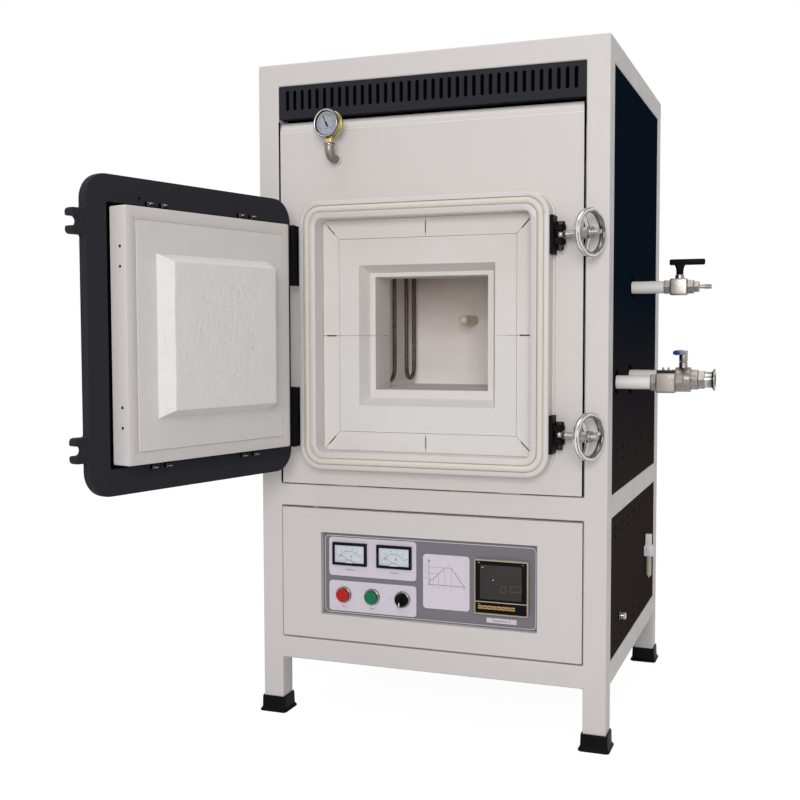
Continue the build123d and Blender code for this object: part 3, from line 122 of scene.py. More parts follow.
# ---- surfaces -----------------------------------------------------------------------------
class Shell:
    """Surfaces of one piece, gathered as arrays before they become its mesh."""

    def __init__(self):
        self.points, self.faces, self.tints, self.bands, self.count = [], [], [], [], 0

    def add(self, points, faces, tint=0, band=None):
        """Take in points (n, 3) and faces that index them; band is each point's place across the section,
        which places the painted reflections of the plating.
        """
        self.points.append(points)
        self.bands.append(np.full(len(points), 0.5) if band is None else np.asarray(band, float).ravel())
        self.faces += [tuple(int(i) + self.count for i in face) for face in faces]
        self.tints += [tint] * len(faces)
        self.count += len(points)

    def net(self, grid, place=FRONT, ring=False, caps=True, tint=0, band=None):
        """Skin a grid of points (rows, columns, 3): each row is a closed loop, joined to the next row.

        With ring the last row also joins the first, as on a torus; otherwise caps closes both ends.
        """
        rows, columns = grid.shape[:2]
        index = np.arange(rows * columns).reshape(rows, columns)
        below = index if ring else index[:-1]
        above = np.roll(index, -1, 0) if ring else index[1:]
        quads = np.stack([below, np.roll(below, -1, 1), np.roll(above, -1, 1), above], 2).reshape(-1, 4)
        faces = quads.tolist()
        if caps and not ring:
            faces += [index[0, ::-1].tolist(), index[-1].tolist()]
        self.add(place(grid.reshape(-1, 3)), faces, tint, band)

    def sheet(self, grid, place=FRONT, tint=0):
        """Skin an open grid of points (rows, columns, 3)."""
        rows, columns = grid.shape[:2]
        index = np.arange(rows * columns).reshape(rows, columns)
        quads = np.stack([index[:-1, :-1], index[:-1, 1:], index[1:, 1:], index[1:, :-1]], 2).reshape(-1, 4)
        self.add(place(grid.reshape(-1, 3)), quads.tolist(), tint)

    def slab(self, width, height, radius, z0, z1, edge=0.6, x=0.0, y=0.0, place=FRONT, tint=0, steps=5):
        """Rounded rectangle carried from z0 to z1, its rims rounded by quarter circles of radius edge."""
        turn = np.linspace(0, pi / 2, 4)
        inset = np.concatenate([edge * (1 - np.sin(turn)), edge * (1 - np.cos(turn))])
        depth = np.concatenate([z0 + edge * (1 - np.cos(turn)), z1 - edge * (1 - np.sin(turn))])
        levels = [(width - 2 * i, height - 2 * i, max(radius - i, 0.05), z, x, y)
                  for i, z in zip(inset, depth)]
        self.net(rect_stack(levels, steps), place, tint=tint)

    def lathe(self, profile, place=FRONT, x=0.0, y=0.0, sides=40, ring=False, tint=0):
        """Profile of (radius, z) pairs turned about the z axis through (x, y)."""
        profile = np.array(profile, float)
        angle = np.linspace(0, tau, sides, endpoint=False)
        radius = np.maximum(profile[:, :1], 0.02)
        grid = np.stack([x + radius * np.cos(angle), y + radius * np.sin(angle),
                         np.repeat(profile[:, 1:], sides, 1)], 2)
        run = np.cumsum(np.linalg.norm(np.diff(profile, axis=0, prepend=profile[:1]), axis=1))
        self.net(grid, place, ring=ring, tint=tint, band=np.repeat(run / run[-1], sides))

    def prism(self, outline, z0, z1, place=FRONT, tint=0, chamfer=0.0):
        """Flat outline (n, 2) carried from z0 to z1, its corners pulled in by chamfer at both rims."""
        outline = np.asarray(outline, float)
        after, before = np.roll(outline, -1, 0) - outline, outline - np.roll(outline, 1, 0)
        normal = sum(side / np.maximum(np.linalg.norm(side, axis=1, keepdims=True), 1e-9)
                     for side in (after, before))
        normal = np.stack([normal[:, 1], -normal[:, 0]], 1)
        normal /= np.maximum(np.linalg.norm(normal, axis=1, keepdims=True), 1e-9)
        rows = [(z0, 0), (z1, 0)]
        if chamfer:
            rows = [(z0, chamfer), (z0 + chamfer, 0), (z1 - chamfer, 0), (z1, chamfer)]
        grid = np.stack([np.column_stack([outline - normal * pull, np.full(len(outline), z)])
                         for z, pull in rows])
        self.net(grid, place, tint=tint)

    def tube(self, path, radius, place=UP, sides=20, ring=False, tint=0):
        """Circle carried along a path (n, 3), its frame turned as little as possible from point to point."""
        path = np.asarray(path, float)
        radius = np.broadcast_to(np.asarray(radius, float), (len(path),))
        ahead = np.roll(path, -1, 0) - np.roll(path, 1, 0) if ring else np.gradient(path, axis=0)
        ahead /= np.linalg.norm(ahead, axis=1, keepdims=True)
        side = np.cross(ahead[0], (0.31, 0.52, 0.79))
        turned = []
        for direction in ahead:
            side = side - direction * side.dot(direction)
            side /= np.linalg.norm(side)
            turned.append(side)
        side = np.array(turned)
        other = np.cross(ahead, side)
        angle = np.linspace(0, tau, sides, endpoint=False)[None, :, None]
        circle = np.cos(angle) * side[:, None] + np.sin(angle) * other[:, None]
        grid = path[:, None] + radius[:, None, None] * circle
        self.net(grid, place, ring=ring, tint=tint)

    def stroke(self, line, width, z0, z1, place=FRONT, tint=0, ring=False):
        """Ribbon of one width that follows a flat line (n, 2), from z0 to z1: a printed or inlaid line."""
        line = np.asarray(line, float)
        ahead = np.roll(line, -1, 0) - np.roll(line, 1, 0) if ring else np.gradient(line, axis=0)
        ahead /= np.maximum(np.linalg.norm(ahead, axis=1, keepdims=True), 1e-9)
        normal = np.stack([-ahead[:, 1], ahead[:, 0]], 1) * width / 2
        left, right = line + normal, line - normal
        grid = np.stack([np.column_stack([edge, np.full(len(line), z)])
                         for edge, z in ((right, z0), (left, z0), (left, z1), (right, z1))], 1)
        self.net(grid, place, ring=ring, tint=tint)

    def words(self, text, size, x, y, z0, z1, place=FRONT, tint=0):
        """Outlines of the built-in typeface given a thickness, centred on x, y."""
        curve = bpy.data.curves.new("lettering", "FONT")
        curve.body, curve.size, curve.align_x, curve.align_y = text, size, "CENTER", "CENTER"
        curve.extrude, curve.resolution_u = (z1 - z0) / 2, 2
        holder = bpy.data.objects.new("lettering", curve)
        mesh = bpy.data.meshes.new_from_object(holder)
        flat = np.empty(len(mesh.vertices) * 3, np.float32)
        mesh.vertices.foreach_get("co", flat)
        points = flat.reshape(-1, 3) + [x, y, (z0 + z1) / 2]
        self.add(place(points), [tuple(face.vertices) for face in mesh.polygons], tint)
        bpy.data.objects.remove(holder)
        bpy.data.curves.remove(curve)
        bpy.data.meshes.remove(mesh)


def rounded_rect(width, height, radius, steps=5):
    """Closed loop: four quarter circles of the radius, one at each corner, counter-clockwise."""
    angle = np.linspace(0, pi / 2, steps + 1)[None] + np.arange(4)[:, None] * pi / 2
    corner = np.array([(1, 1), (-1, 1), (-1, -1), (1, -1)], float)
    centre = corner * (width / 2 - radius, height / 2 - radius)
    loop = centre[:, None] + radius * np.stack([np.cos(angle), np.sin(angle)], 2)
    return loop.reshape(-1, 2)


def rect_stack(levels, steps=5):
    """Grid of rounded rectangles, one row for each (width, height, radius, z, x, y)."""
    rows = []
    for width, height, radius, z, *shift in levels:
        x, y = shift or (0.0, 0.0)
        loop = rounded_rect(width, height, radius, steps) + (x, y)
        rows.append(np.column_stack([loop, np.full(len(loop), z)]))
    return np.stack(rows)


def filleted(corners, steps=5):
    """Closed outline through (x, y, radius) corners, each replaced by the arc tangent to its two sides."""
    corners = np.array(corners, float)
    spots, radii = corners[:, :2], corners[:, 2]
    loop = []
    for spot, before, after, radius in zip(spots, np.roll(spots, 1, 0), np.roll(spots, -1, 0), radii):
        a, b = before - spot, after - spot
        a, b = a / np.linalg.norm(a), b / np.linalg.norm(b)
        half = np.arccos(np.clip(a.dot(b), -1, 1)) / 2
        if radius <= 0:
            loop.append(spot[None])
            continue
        middle = (a + b) / np.linalg.norm(a + b)
        centre = spot + middle * radius / sin(half)
        start, end = spot + a * radius / np.tan(half) - centre, spot + b * radius / np.tan(half) - centre
        angle = np.arctan2(start[1], start[0]), np.arctan2(end[1], end[0])
        sweep = (angle[1] - angle[0] + pi) % tau - pi
        turn = angle[0] + sweep * np.linspace(0, 1, steps + 1)
        loop.append(centre + radius * np.stack([np.cos(turn), np.sin(turn)], 1))
    return np.concatenate(loop)


def arc(centre, radius, start, end, steps=12):
    """Points of a circular arc, angles in degrees."""
    angle = np.radians(np.linspace(start, end, steps + 1))
    return np.asarray(centre, float) + radius * np.stack([np.cos(angle), np.sin(angle)], 1)


def hexagon(radius, turn=0.0):
    """Outline of a nut: six points on a circle."""
    angle = np.arange(6) * pi / 3 + turn
    return radius * np.stack([np.cos(angle), np.sin(angle)], 1)


def nut_rows(profile):
    """Grid of hexagons, one row for each (radius, z)."""
    return np.stack([np.column_stack([hexagon(radius), np.full(6, z)]) for radius, z in profile])


def ribbed_rows(profile, ribs, points, x=0.0, y=0.0):
    """Grid of circles, one row for each (radius, z, depth), drawn in by the depth between evenly set ribs."""
    turn = np.linspace(0, tau, points, endpoint=False)
    rows = []
    for radius, z, depth in profile:
        wave = radius - depth * (0.5 + 0.5 * np.cos(ribs * turn))
        rows.append(np.stack([x + wave * np.cos(turn), y + wave * np.sin(turn), np.full(points, z)], 1))
    return np.stack(rows)


def lattice(shell, xs, ys, zs, filled):
    """Boundary of the filled cells of a box lattice: one quad wherever a filled cell meets an empty one."""
    solid = np.pad(filled, 1)
    shape = (len(xs), len(ys), len(zs))
    spots = np.stack(np.meshgrid(xs, ys, zs, indexing="ij"), 3).reshape(-1, 3)
    quads = []
    for axis in range(3):
        step = np.diff(solid.astype(int), axis=axis)
        keep = tuple(slice(None) if k == axis else slice(1, -1) for k in range(3))
        cell = np.argwhere(step[keep] != 0)
        u, v = np.eye(3, dtype=int)[(axis + 1) % 3], np.eye(3, dtype=int)[(axis + 2) % 3]
        corners = [cell, cell + u, cell + u + v, cell + v]
        quads.append(np.stack([np.ravel_multi_index(c.T, shape) for c in corners], 1))
    quads = np.concatenate(quads)
    used, face = np.unique(quads, return_inverse=True)
    shell.add(spots[used], face.reshape(-1, 4).tolist())


def wander(grid, size, seed):
    """Smooth random height at each point: bilinear blend of a lattice of random numbers, spacing size."""
    spots = np.asarray(grid, float) / size
    table = np.random.default_rng(seed).uniform(-1, 1, (64, 64))
    low = np.floor(spots).astype(int)
    part = spots - low
    part = part * part * (3 - 2 * part)
    a, b = low[..., 0] % 64, low[..., 1] % 64
    c, d = (a + 1) % 64, (b + 1) % 64
    u, v = part[..., 0], part[..., 1]
    return (table[a, b] * (1 - u) + table[c, b] * u) * (1 - v) + (table[a, d] * (1 - u) + table[c, d] * u) * v


def piece(name, shell, finishes, body, replaces=(), bevel=0.0, segments=2, crease=35.0):
    """Turn a shell into an object at the origin that rides on a body and stands for CAD nodes."""
    mesh = bpy.data.meshes.new(name)
    points = np.concatenate(shell.points) * MM
    mesh.from_pydata(points.tolist(), [], shell.faces)
    for finish in finishes:
        mesh.materials.append(PALETTE[finish])
    mesh.polygons.foreach_set("material_index", np.array(shell.tints, np.int32))
    work = bmesh.new()
    work.from_mesh(mesh)
    bmesh.ops.recalc_face_normals(work, faces=work.faces)
    work.to_mesh(mesh)
    work.free()
    bands = np.concatenate(shell.bands).astype(np.float32)
    mesh.attributes.new("band", "FLOAT", "POINT").data.foreach_set("value", bands)
    mesh.polygons.foreach_set("use_smooth", np.ones(len(mesh.polygons), bool))
    mesh.set_sharp_from_angle(angle=radians(crease))
    thing = bpy.data.objects.new(name, mesh)
    bpy.context.scene.collection.objects.link(thing)
    if bevel:
        rim = thing.modifiers.new("rim", "BEVEL")
        rim.width, rim.segments = bevel * MM, segments
        rim.limit_method, rim.angle_limit = "ANGLE", radians(40)
        rim.harden_normals = True
    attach(thing, body)
    if replaces:
        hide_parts(*replaces)
    return thing


# ---- finishes -----------------------------------------------------------------------------
class Nodes:
    """A node tree and the few ways in which its nodes are joined."""

    def __init__(self, tree):
        self.tree = tree

    def add(self, kind, **values):
        """Make a node, set as set does."""
        node = self.tree.nodes.new(kind)
        self.set(node, **values)
        return node

    def set(self, node, **values):
        """Set sockets and settings by name; a value that is a socket is linked."""
        for key, value in values.items():
            if key in node.inputs:
                self.feed(node.inputs[key], value)
            else:
                setattr(node, key, value)

    def feed(self, socket, value):
        """Link a socket to another one, or give it a plain value."""
        if isinstance(value, bpy.types.NodeSocket):
            self.tree.links.new(value, socket)
        else:
            socket.default_value = value

    def maths(self, kind, first, second=0.0):
        """One sum on two numbers or sockets."""
        node = self.add("ShaderNodeMath", operation=kind)
        self.feed(node.inputs[0], first)
        self.feed(node.inputs[1], second)
        return node.outputs[0]

    def seen(self):
        """1 where the camera, glass or a mirror looks, otherwise 0."""
        path = self.add("ShaderNodeLightPath").outputs
        through = self.maths("MAXIMUM", path["Is Glossy Ray"], path["Is Transmission Ray"])
        return self.maths("MAXIMUM", path["Is Camera Ray"], through)


class Finish(Nodes):
    """One node material, built up from a Principled shader."""

    def __init__(self, name, roughness, metallic=0.0, **fixed):
        self.material = bpy.data.materials.new(name)
        self.material.use_nodes = True
        super().__init__(self.material.node_tree)
        self.shader = self.tree.nodes["Principled BSDF"]
        sockets = {key.replace("_", " "): value for key, value in fixed.items()}
        self.set(self.shader, Roughness=roughness, Metallic=metallic, **sockets)
        self.spot = self.add("ShaderNodeTexCoord").outputs["Object"]

    def stretched(self, x=1.0, y=1.0, z=1.0):
        """Object coordinates scaled axis by axis."""
        return self.add("ShaderNodeMapping", Vector=self.spot, Scale=(x, y, z)).outputs["Vector"]

    def noise(self, size, detail=3.0, rough=0.55, where=None, twist=0.0):
        """Noise whose features are about size metres across."""
        return self.add("ShaderNodeTexNoise", Vector=where or self.spot, Scale=1 / size, Detail=detail,
                        Roughness=rough, Distortion=twist).outputs["Fac"]

    def cells(self, size):
        """Distance to the nearest of scattered points about size metres apart."""
        return self.add("ShaderNodeTexVoronoi", Vector=self.spot, Scale=1 / size).outputs["Distance"]

    def span(self, value, low, high, out_low=0.0, out_high=1.0):
        """Carry a value from one range to another, held at both ends."""
        node = self.add("ShaderNodeMapRange", **{"Value": value, "From Min": low, "From Max": high,
                                                 "To Min": out_low, "To Max": out_high})
        return node.outputs["Result"]

    def mix(self, factor, first, second, blend="MIX"):
        """Blend two colours."""
        node = self.add("ShaderNodeMix", data_type="RGBA", blend_type=blend)
        for socket, value in ((node.inputs[0], factor), (node.inputs[6], first), (node.inputs[7], second)):
            plain = isinstance(value, (float, bpy.types.NodeSocket))
            self.feed(socket, value if plain else (*value[:3], 1.0))
        return node.outputs[2]

    def axis(self, letter):
        """One Object coordinate, in metres."""
        return self.add("ShaderNodeSeparateXYZ", Vector=self.spot).outputs[letter]

    def relief(self, *layers):
        """Bump layers of (height, depth in metres), laid one over the other."""
        normal = None
        for height, depth in layers:
            node = self.add("ShaderNodeBump", Height=height, Distance=depth, Strength=1.0)
            if normal:
                self.set(node, Normal=normal)
            normal = node.outputs["Normal"]
        self.set(self.shader, Normal=normal)

    def colour(self, value):
        """Give the surface its base colour, plain or from a socket."""
        self.set(self.shader, **{"Base Color": value if isinstance(value, bpy.types.NodeSocket)
                                 else (*value[:3], 1.0)})

    def gloss(self, value):
        """Give the surface its roughness."""
        self.set(self.shader, Roughness=value)


def shade(colour, amount):
    """A colour made lighter or darker by a factor."""
    return tuple(min(1.0, channel * amount) for channel in colour[:3])


def enamel(name, colour, roughness, grain, depth, mottle=0.03, gleam=0.5, low=None):
    """Baked powder coat: broad drift of tone, dust low down, orange peel in the relief.

    low is the tone that it takes near the floor: a painted reflection of the floor on the lower part of the
    surface.
    """
    finish = Finish(name, roughness, Specular_IOR_Level=gleam)
    drift = finish.noise(0.35, 2.0)
    tone = finish.mix(drift, shade(colour, 1 - mottle), shade(colour, 1 + mottle))
    speck = finish.span(finish.cells(0.009), 0.0, 0.09, 1.0, 0.0)
    rare = finish.span(finish.noise(0.06, 1.0), 0.62, 0.72)
    tone = finish.mix(finish.maths("MULTIPLY", finish.maths("MULTIPLY", speck, rare), 0.25), tone,
                      shade(colour, 0.72))
    # painted reflection: towards the bottom the tone turns to low, standing in for the floor seen in the
    # covers
    if low:
        tone = finish.mix(finish.span(finish.axis("Z"), 0.42, 0.78, 1.0, 0.0), tone, low)
    dust = finish.maths("MULTIPLY", finish.span(finish.axis("Z"), 0.0, 0.16, 0.3, 0.0),
                        finish.noise(0.02, 4.0))
    finish.colour(finish.mix(dust, tone, shade(colour, 0.8)))
    finish.gloss(finish.span(finish.noise(0.05, 3.0), 0.3, 0.7, roughness - 0.05, roughness + 0.06))
    finish.relief((finish.noise(grain, 2.0), depth), (finish.noise(grain * 5, 1.0), depth * 1.5))
    return finish.material


def metal(name, colour, roughness, along="Z", streak=0.12):
    """Machined metal: fine tool marks along one axis, faint tarnish and scattered scratches."""
    finish = Finish(name, roughness, 1.0)
    scale = {letter: (0.06 if letter == along else 1.0) for letter in "XYZ"}
    marks = finish.noise(0.0009, 3.0, 0.6, finish.stretched(scale["X"], scale["Y"], scale["Z"]))
    tarnish = finish.span(finish.noise(0.012, 4.0, 0.6), 0.42, 0.75)
    tone = finish.mix(marks, shade(colour, 1 - streak), shade(colour, 1 + streak * 0.5))
    finish.colour(finish.mix(finish.maths("MULTIPLY", tarnish, 0.35), tone, shade(colour, 0.62)))
    finish.gloss(finish.span(finish.noise(0.004, 4.0), 0.3, 0.7, roughness * 0.8, roughness * 1.3))
    finish.relief((marks, 0.00002), (finish.noise(0.006, 2.0), 0.00008))
    return finish.material


def polished(name, colour, roughness):
    """Chrome plating: painted reflections as bright and smoky bands that follow each turned section, the
    smoky ones warmer, with hairline scratches.
    """
    finish = Finish(name, roughness, 1.0)
    # painted reflection: each point's place across its section picks a bright or smoky tone from the ramp
    band = finish.add("ShaderNodeAttribute", attribute_name="band").outputs["Fac"]
    bend = finish.span(finish.noise(0.02, 2.0), 0.3, 0.7, -0.035, 0.035)
    reflection_ramp = finish.add("ShaderNodeValToRGB", Fac=finish.maths("ADD", band, bend))
    stops = reflection_ramp.color_ramp.elements
    for spot, level in ((0.0, 0.8), (0.08, 1.0), (0.14, 0.05), (0.19, 0.95), (0.26, 0.6), (0.34, 0.08),
                        (0.42, 0.2), (0.5, 0.32), (0.6, 0.1), (0.72, 0.3), (0.86, 0.7)):
        stop = stops.new(spot)
        red, green, blue = shade(colour, level * 1.3)
        stop.color = (red, green * (0.93 if level < 0.5 else 1.0), blue * (0.87 if level < 0.5 else 1.0), 1.0)
    stops.remove(stops[0])
    scratch = finish.noise(0.0007, 2.0, 0.6, finish.stretched(1.0, 0.05, 1.0))
    finish.colour(finish.mix(finish.maths("MULTIPLY", scratch, 0.25), reflection_ramp.outputs["Color"],
                             shade(colour, 0.6)))
    finish.gloss(finish.span(scratch, 0.3, 0.7, roughness * 0.8, roughness * 1.4))
    finish.relief((scratch, 0.00001), (finish.noise(0.01, 1.0), 0.0001))
    return finish.material


def fibre_board(name, colour, stain=0.0, stain_colour=(0.3, 0.2, 0.14), relief=1.0, low=0.6, high=0.82):
    """Pressed ceramic fibre: matted fibres, pits and pressing marks, browned towards the top by heat."""
    finish = Finish(name, 0.92, Specular_IOR_Level=0.2)
    mat = finish.noise(0.004, 5.0, 0.65, finish.stretched(1.0, 1.0, 2.2), 0.6)
    broad = finish.noise(0.07, 3.0)
    tone = finish.mix(mat, shade(colour, 0.95), shade(colour, 1.03))
    tone = finish.mix(finish.span(broad, 0.4, 0.7, 0.0, 0.5), tone, shade(colour, 0.94))
    # painted shade: the board is darker in its pits, which are also sunk in the relief
    pits = finish.span(finish.cells(0.006), 0.03, 0.16, 1.0, 0.0)
    tone = finish.mix(finish.maths("MULTIPLY", pits, 0.16), tone, shade(colour, 0.55))
    if stain:
        heat = finish.span(finish.axis("Z"), low, high, 0.15, 1.0)
        patch = finish.maths("MULTIPLY", heat, finish.span(broad, 0.25, 0.7, 0.45, 1.0))
        tone = finish.mix(finish.maths("MULTIPLY", patch, stain), tone, stain_colour)
    finish.colour(tone)
    finish.relief((mat, 0.0003 * relief), (pits, -0.0003 * relief), (broad, 0.0015 * relief))
    return finish.material


def trowelled(name, colour):
    """Hand-smoothed fibre face: faint long drags of the trowel, fine crumbs and small torn scars."""
    finish = Finish(name, 0.9, Specular_IOR_Level=0.2)
    crumb = finish.noise(0.003, 5.0, 0.7)
    drag = finish.noise(0.012, 4.0, 0.6, finish.stretched(1.0, 1.0, 0.35), 1.2)
    scar = finish.span(finish.noise(0.022, 5.0, 0.75, None, 1.5), 0.6, 0.66)
    tone = finish.mix(crumb, shade(colour, 0.96), shade(colour, 1.03))
    finish.colour(finish.mix(finish.maths("MULTIPLY", scar, 0.2), tone, shade(colour, 0.88)))
    finish.relief((crumb, 0.0002), (drag, 0.0005), (scar, 0.00025))
    return finish.material


def moulded(name, colour, roughness, grain=0.0012, depth=0.00003, **fixed):
    """Moulded plastic or rubber: fine spark texture, faint flow marks and handling shine."""
    finish = Finish(name, roughness, **fixed)
    finish.colour(finish.mix(finish.noise(0.01, 3.0), shade(colour, 0.93), shade(colour, 1.06)))
    finish.gloss(finish.span(finish.noise(0.02, 3.0), 0.35, 0.7, roughness * 0.85,
                             min(1.0, roughness * 1.15)))
    finish.relief((finish.noise(grain, 2.0), depth), (finish.noise(0.008, 1.0), depth * 2))
    return finish.material


def hot_rod(name, colour):
    """Glazed heating rod: brown-black glass skin with grey oxide bloom and small beads."""
    finish = Finish(name, 0.42)
    bloom = finish.span(finish.noise(0.012, 4.0, 0.6), 0.45, 0.7)
    finish.colour(finish.mix(bloom, colour, shade(colour, 2.2)))
    finish.gloss(finish.span(finish.noise(0.005, 3.0), 0.3, 0.7, 0.3, 0.62))
    finish.relief((finish.noise(0.0016, 3.0), 0.0001), (finish.noise(0.012, 2.0), 0.0003))
    return finish.material


# ---- sizes and colours that a user would change ------------------------------------------
def length(name, description, default):
    """Setting in metres."""
    return FloatProperty(name=name, description=description, default=default, min=0.0, unit="LENGTH")


def tint(name, description, default):
    """Colour setting."""
    return FloatVectorProperty(name=name, description=description, default=default, size=3,
                               min=0.0, max=1.0, subtype="COLOR")


class FurnaceColours(bpy.types.PropertyGroup):
    """Base colours of the finishes"""

    light: tint("Light enamel", "Powder coat of the stand, fascia and vessel front", (0.62, 0.585, 0.565))
    dark: tint("Dark enamel", "Powder coat of the door and the vent grille", (0.028, 0.027, 0.034))
    cover: tint("Cover enamel", "Powder coat of the side, rear and top covers", (0.0065, 0.0125, 0.024))
    # The low tone of the covers is a painted reflection of the floor, not a colour of the coat.
    cover_painted_reflection: tint("Cover enamel low down", "Tone of the covers near the floor", (0.048, 0.037, 0.036))
    board: tint("Fibre board", "Insulation boards at the furnace mouth", (0.705, 0.68, 0.665))
    seal: tint("Seal cord", "Silicone cord round the door opening", (0.66, 0.62, 0.55))
    stain: tint("Heat stain", "Browning of the chamber lining", (0.62, 0.45, 0.35))
    plate: tint("Instrument plate", "Ground colour of the control plate", (0.158, 0.151, 0.173))
    label: tint("Label", "Ground colour of the printed label plates", (0.66, 0.60, 0.68))
    steel: tint("Steel", "Plain machined steel", (0.33, 0.303, 0.28))
    plated: tint("Plated steel", "Polished handwheels, rings and bezels", (0.62, 0.61, 0.61))
    grip: tint("Lever grip", "Dipped grip of the vacuum valve's lever", (0.008, 0.035, 0.20))


class FurnaceSizes(bpy.types.PropertyGroup):
    """Sizes of edges, beads and fine detail"""

    tube_edge: length("Tube edge radius", "Outer corner radius of the square tube", 0.0028)
    weld_leg: length("Weld leg", "Leg of the fillet weld round the door flange", 0.0042)
    weld_pitch: length("Weld pitch", "Distance between ripples of the weld", 0.0062)
    board_lump: length("Board unevenness", "Height of the plug face's hand finishing", 0.0008)
    seal_rise: length("Seal rise", "How far the seal cord stands above the flange", 0.0014)
    thread_pitch: length("Thread pitch", "Pitch of the swing bolts' thread", 0.0015)
    plate_edge: length("Door edge radius", "Rounding of the door plate's rims", 0.0022)
    rim_depth: length("Handwheel rim depth", "Depth of the handwheel's rim", 0.011)
    strokes: IntProperty(name="Trowel strokes", description="Curved marks on the plug's face", default=110,
                         min=0)
    spokes: IntProperty(name="Spokes", description="Spokes of each handwheel", default=3, min=2, max=6)


class FurnaceStage(bpy.types.PropertyGroup):
    """Floor, lamps and camera"""

    floor: FloatProperty(name="Floor reach", description="Half the width of the floor", default=30.0,
                         min=1.0, unit="LENGTH")
    lens: FloatProperty(name="Lens", description="Focal length on a 36 mm sensor, in millimetres",
                        default=50.29, min=10.0)
    front: FloatProperty(name="Front light", description="Strength of the lamp before the door, in watts",
                         default=88.0, min=0.0)
    top: FloatProperty(name="Top light", description="Strength of the lamp overhead, in watts",
                       default=104.0, min=0.0)
    world: FloatProperty(name="Room light", description="Strength of the even light of the room",
                         default=0.36, min=0.0)


# ---- pieces -------------------------------------------------------------------------------
def mix_finishes(colours):
    """Make every finish once, from the colours of the panel."""
    light, dark = tuple(colours.light), tuple(colours.dark)
    steel, plated = tuple(colours.steel), tuple(colours.plated)
    board, stain = tuple(colours.board), tuple(colours.stain)
    PALETTE.update(
        light=enamel("light_enamel_coat", light, 0.42, 0.0011, 0.00002, 0.018),
        dark=enamel("dark_enamel_coat", dark, 0.55, 0.0007, 0.00004, 0.06, 0.03),
        cover=enamel("cover_enamel_coat", tuple(colours.cover), 0.62, 0.0011, 0.00003, 0.06, 0.0,
                     tuple(colours.cover_painted_reflection)),
        black=moulded("black_plastic", (0.0045, 0.0042, 0.0045), 0.5, Specular_IOR_Level=0.05),
        shadow=moulded("black_void", (0.002, 0.002, 0.002), 0.95, Specular_IOR_Level=0.0),
        # The pipe enamel is the light enamel made 1.22 times lighter as painted light; it also paints the
        # highlight on the front plate.
        pipe=enamel("pipe_enamel_coat", shade(light, 1.22), 0.42, 0.0011, 0.00002, 0.018),
        seal=moulded("silicone_seal", tuple(colours.seal), 0.6, 0.0015, 0.00005),
        board=fibre_board("fibre_board_face", board, 0.12, stain),
        # The lining takes the board colour made 1.27 times lighter as painted light inside the chamber; its
        # brown stain is heat staining.
        lining=fibre_board("hot_lining_face", shade(board, 1.27), 0.6, stain, low=0.6, high=0.86),
        skim=fibre_board("door_board_face", shade(board, 0.96), relief=1.3),
        # The plug takes the board colour made 1.07 times lighter as painted light on its face.
        plug=trowelled("trowelled_plug_face", shade(board, 1.07)),
        rod=hot_rod("glazed_rod", (0.055, 0.043, 0.036)),
        steel=metal("machined_steel", steel, 0.34, "X"),
        cast=metal("cast_steel", shade(steel, 0.82), 0.46, "Z", 0.2),
        plated=polished("plating_painted_reflections", plated, 0.16),
        zinc=metal("yellow_zinc", (0.50, 0.46, 0.22), 0.3, "Z"),
        brass=metal("turned_brass", (0.72, 0.50, 0.20), 0.28, "Z"),
        blackened=metal("blackened_steel", (0.022, 0.021, 0.021), 0.45, "Z", 0.3),
        ceramic=moulded("glazed_ceramic", (0.66, 0.60, 0.47), 0.35, 0.002, 0.00006),
        grip=moulded("dipped_grip", tuple(colours.grip), 0.35, Specular_IOR_Level=0.12),
        plate=enamel("instrument_plate_coat", tuple(colours.plate), 0.45, 0.0008, 0.00002, 0.02),
        label=moulded("printed_label", tuple(colours.label), 0.35, 0.0009, 0.00001),
        ink=moulded("dark_ink", (0.03, 0.03, 0.035), 0.5),
        paper=moulded("dial_card", (0.60, 0.66, 0.70), 0.45, 0.0009, 0.00001),
        face=moulded("gauge_card", (0.36, 0.385, 0.45), 0.45, 0.0009, 0.00001),
        red=moulded("red_lens", (0.46, 0.008, 0.006), 0.3, Specular_IOR_Level=0.25),
        green=moulded("green_lens", (0.0, 0.155, 0.062), 0.3, Specular_IOR_Level=0.25),
        red_ink=moulded("red_ink", (0.55, 0.08, 0.07), 0.5),
        glass=moulded("dark_screen", (0.040, 0.038, 0.034), 0.3, 0.004, 0.00001, Specular_IOR_Level=0.1),
        trace=moulded("screen_trace", (0.11, 0.12, 0.11), 0.4),
        amber=moulded("key_strip", (0.44, 0.25, 0.085), 0.4),
        frame_tan=moulded("controller_rim", (0.46, 0.38, 0.28), 0.4),
        white=moulded("white_mark", (0.72, 0.72, 0.72), 0.4),
        bowl=moulded("filter_bowl", (0.44, 0.43, 0.32), 0.2, 0.002, 0.00002),
    )


def coat(node, *finishes):
    """Give a carried CAD piece its finish."""
    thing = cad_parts[node]
    thing.data.materials.clear()
    for finish in finishes:
        thing.data.materials.append(PALETTE[finish])


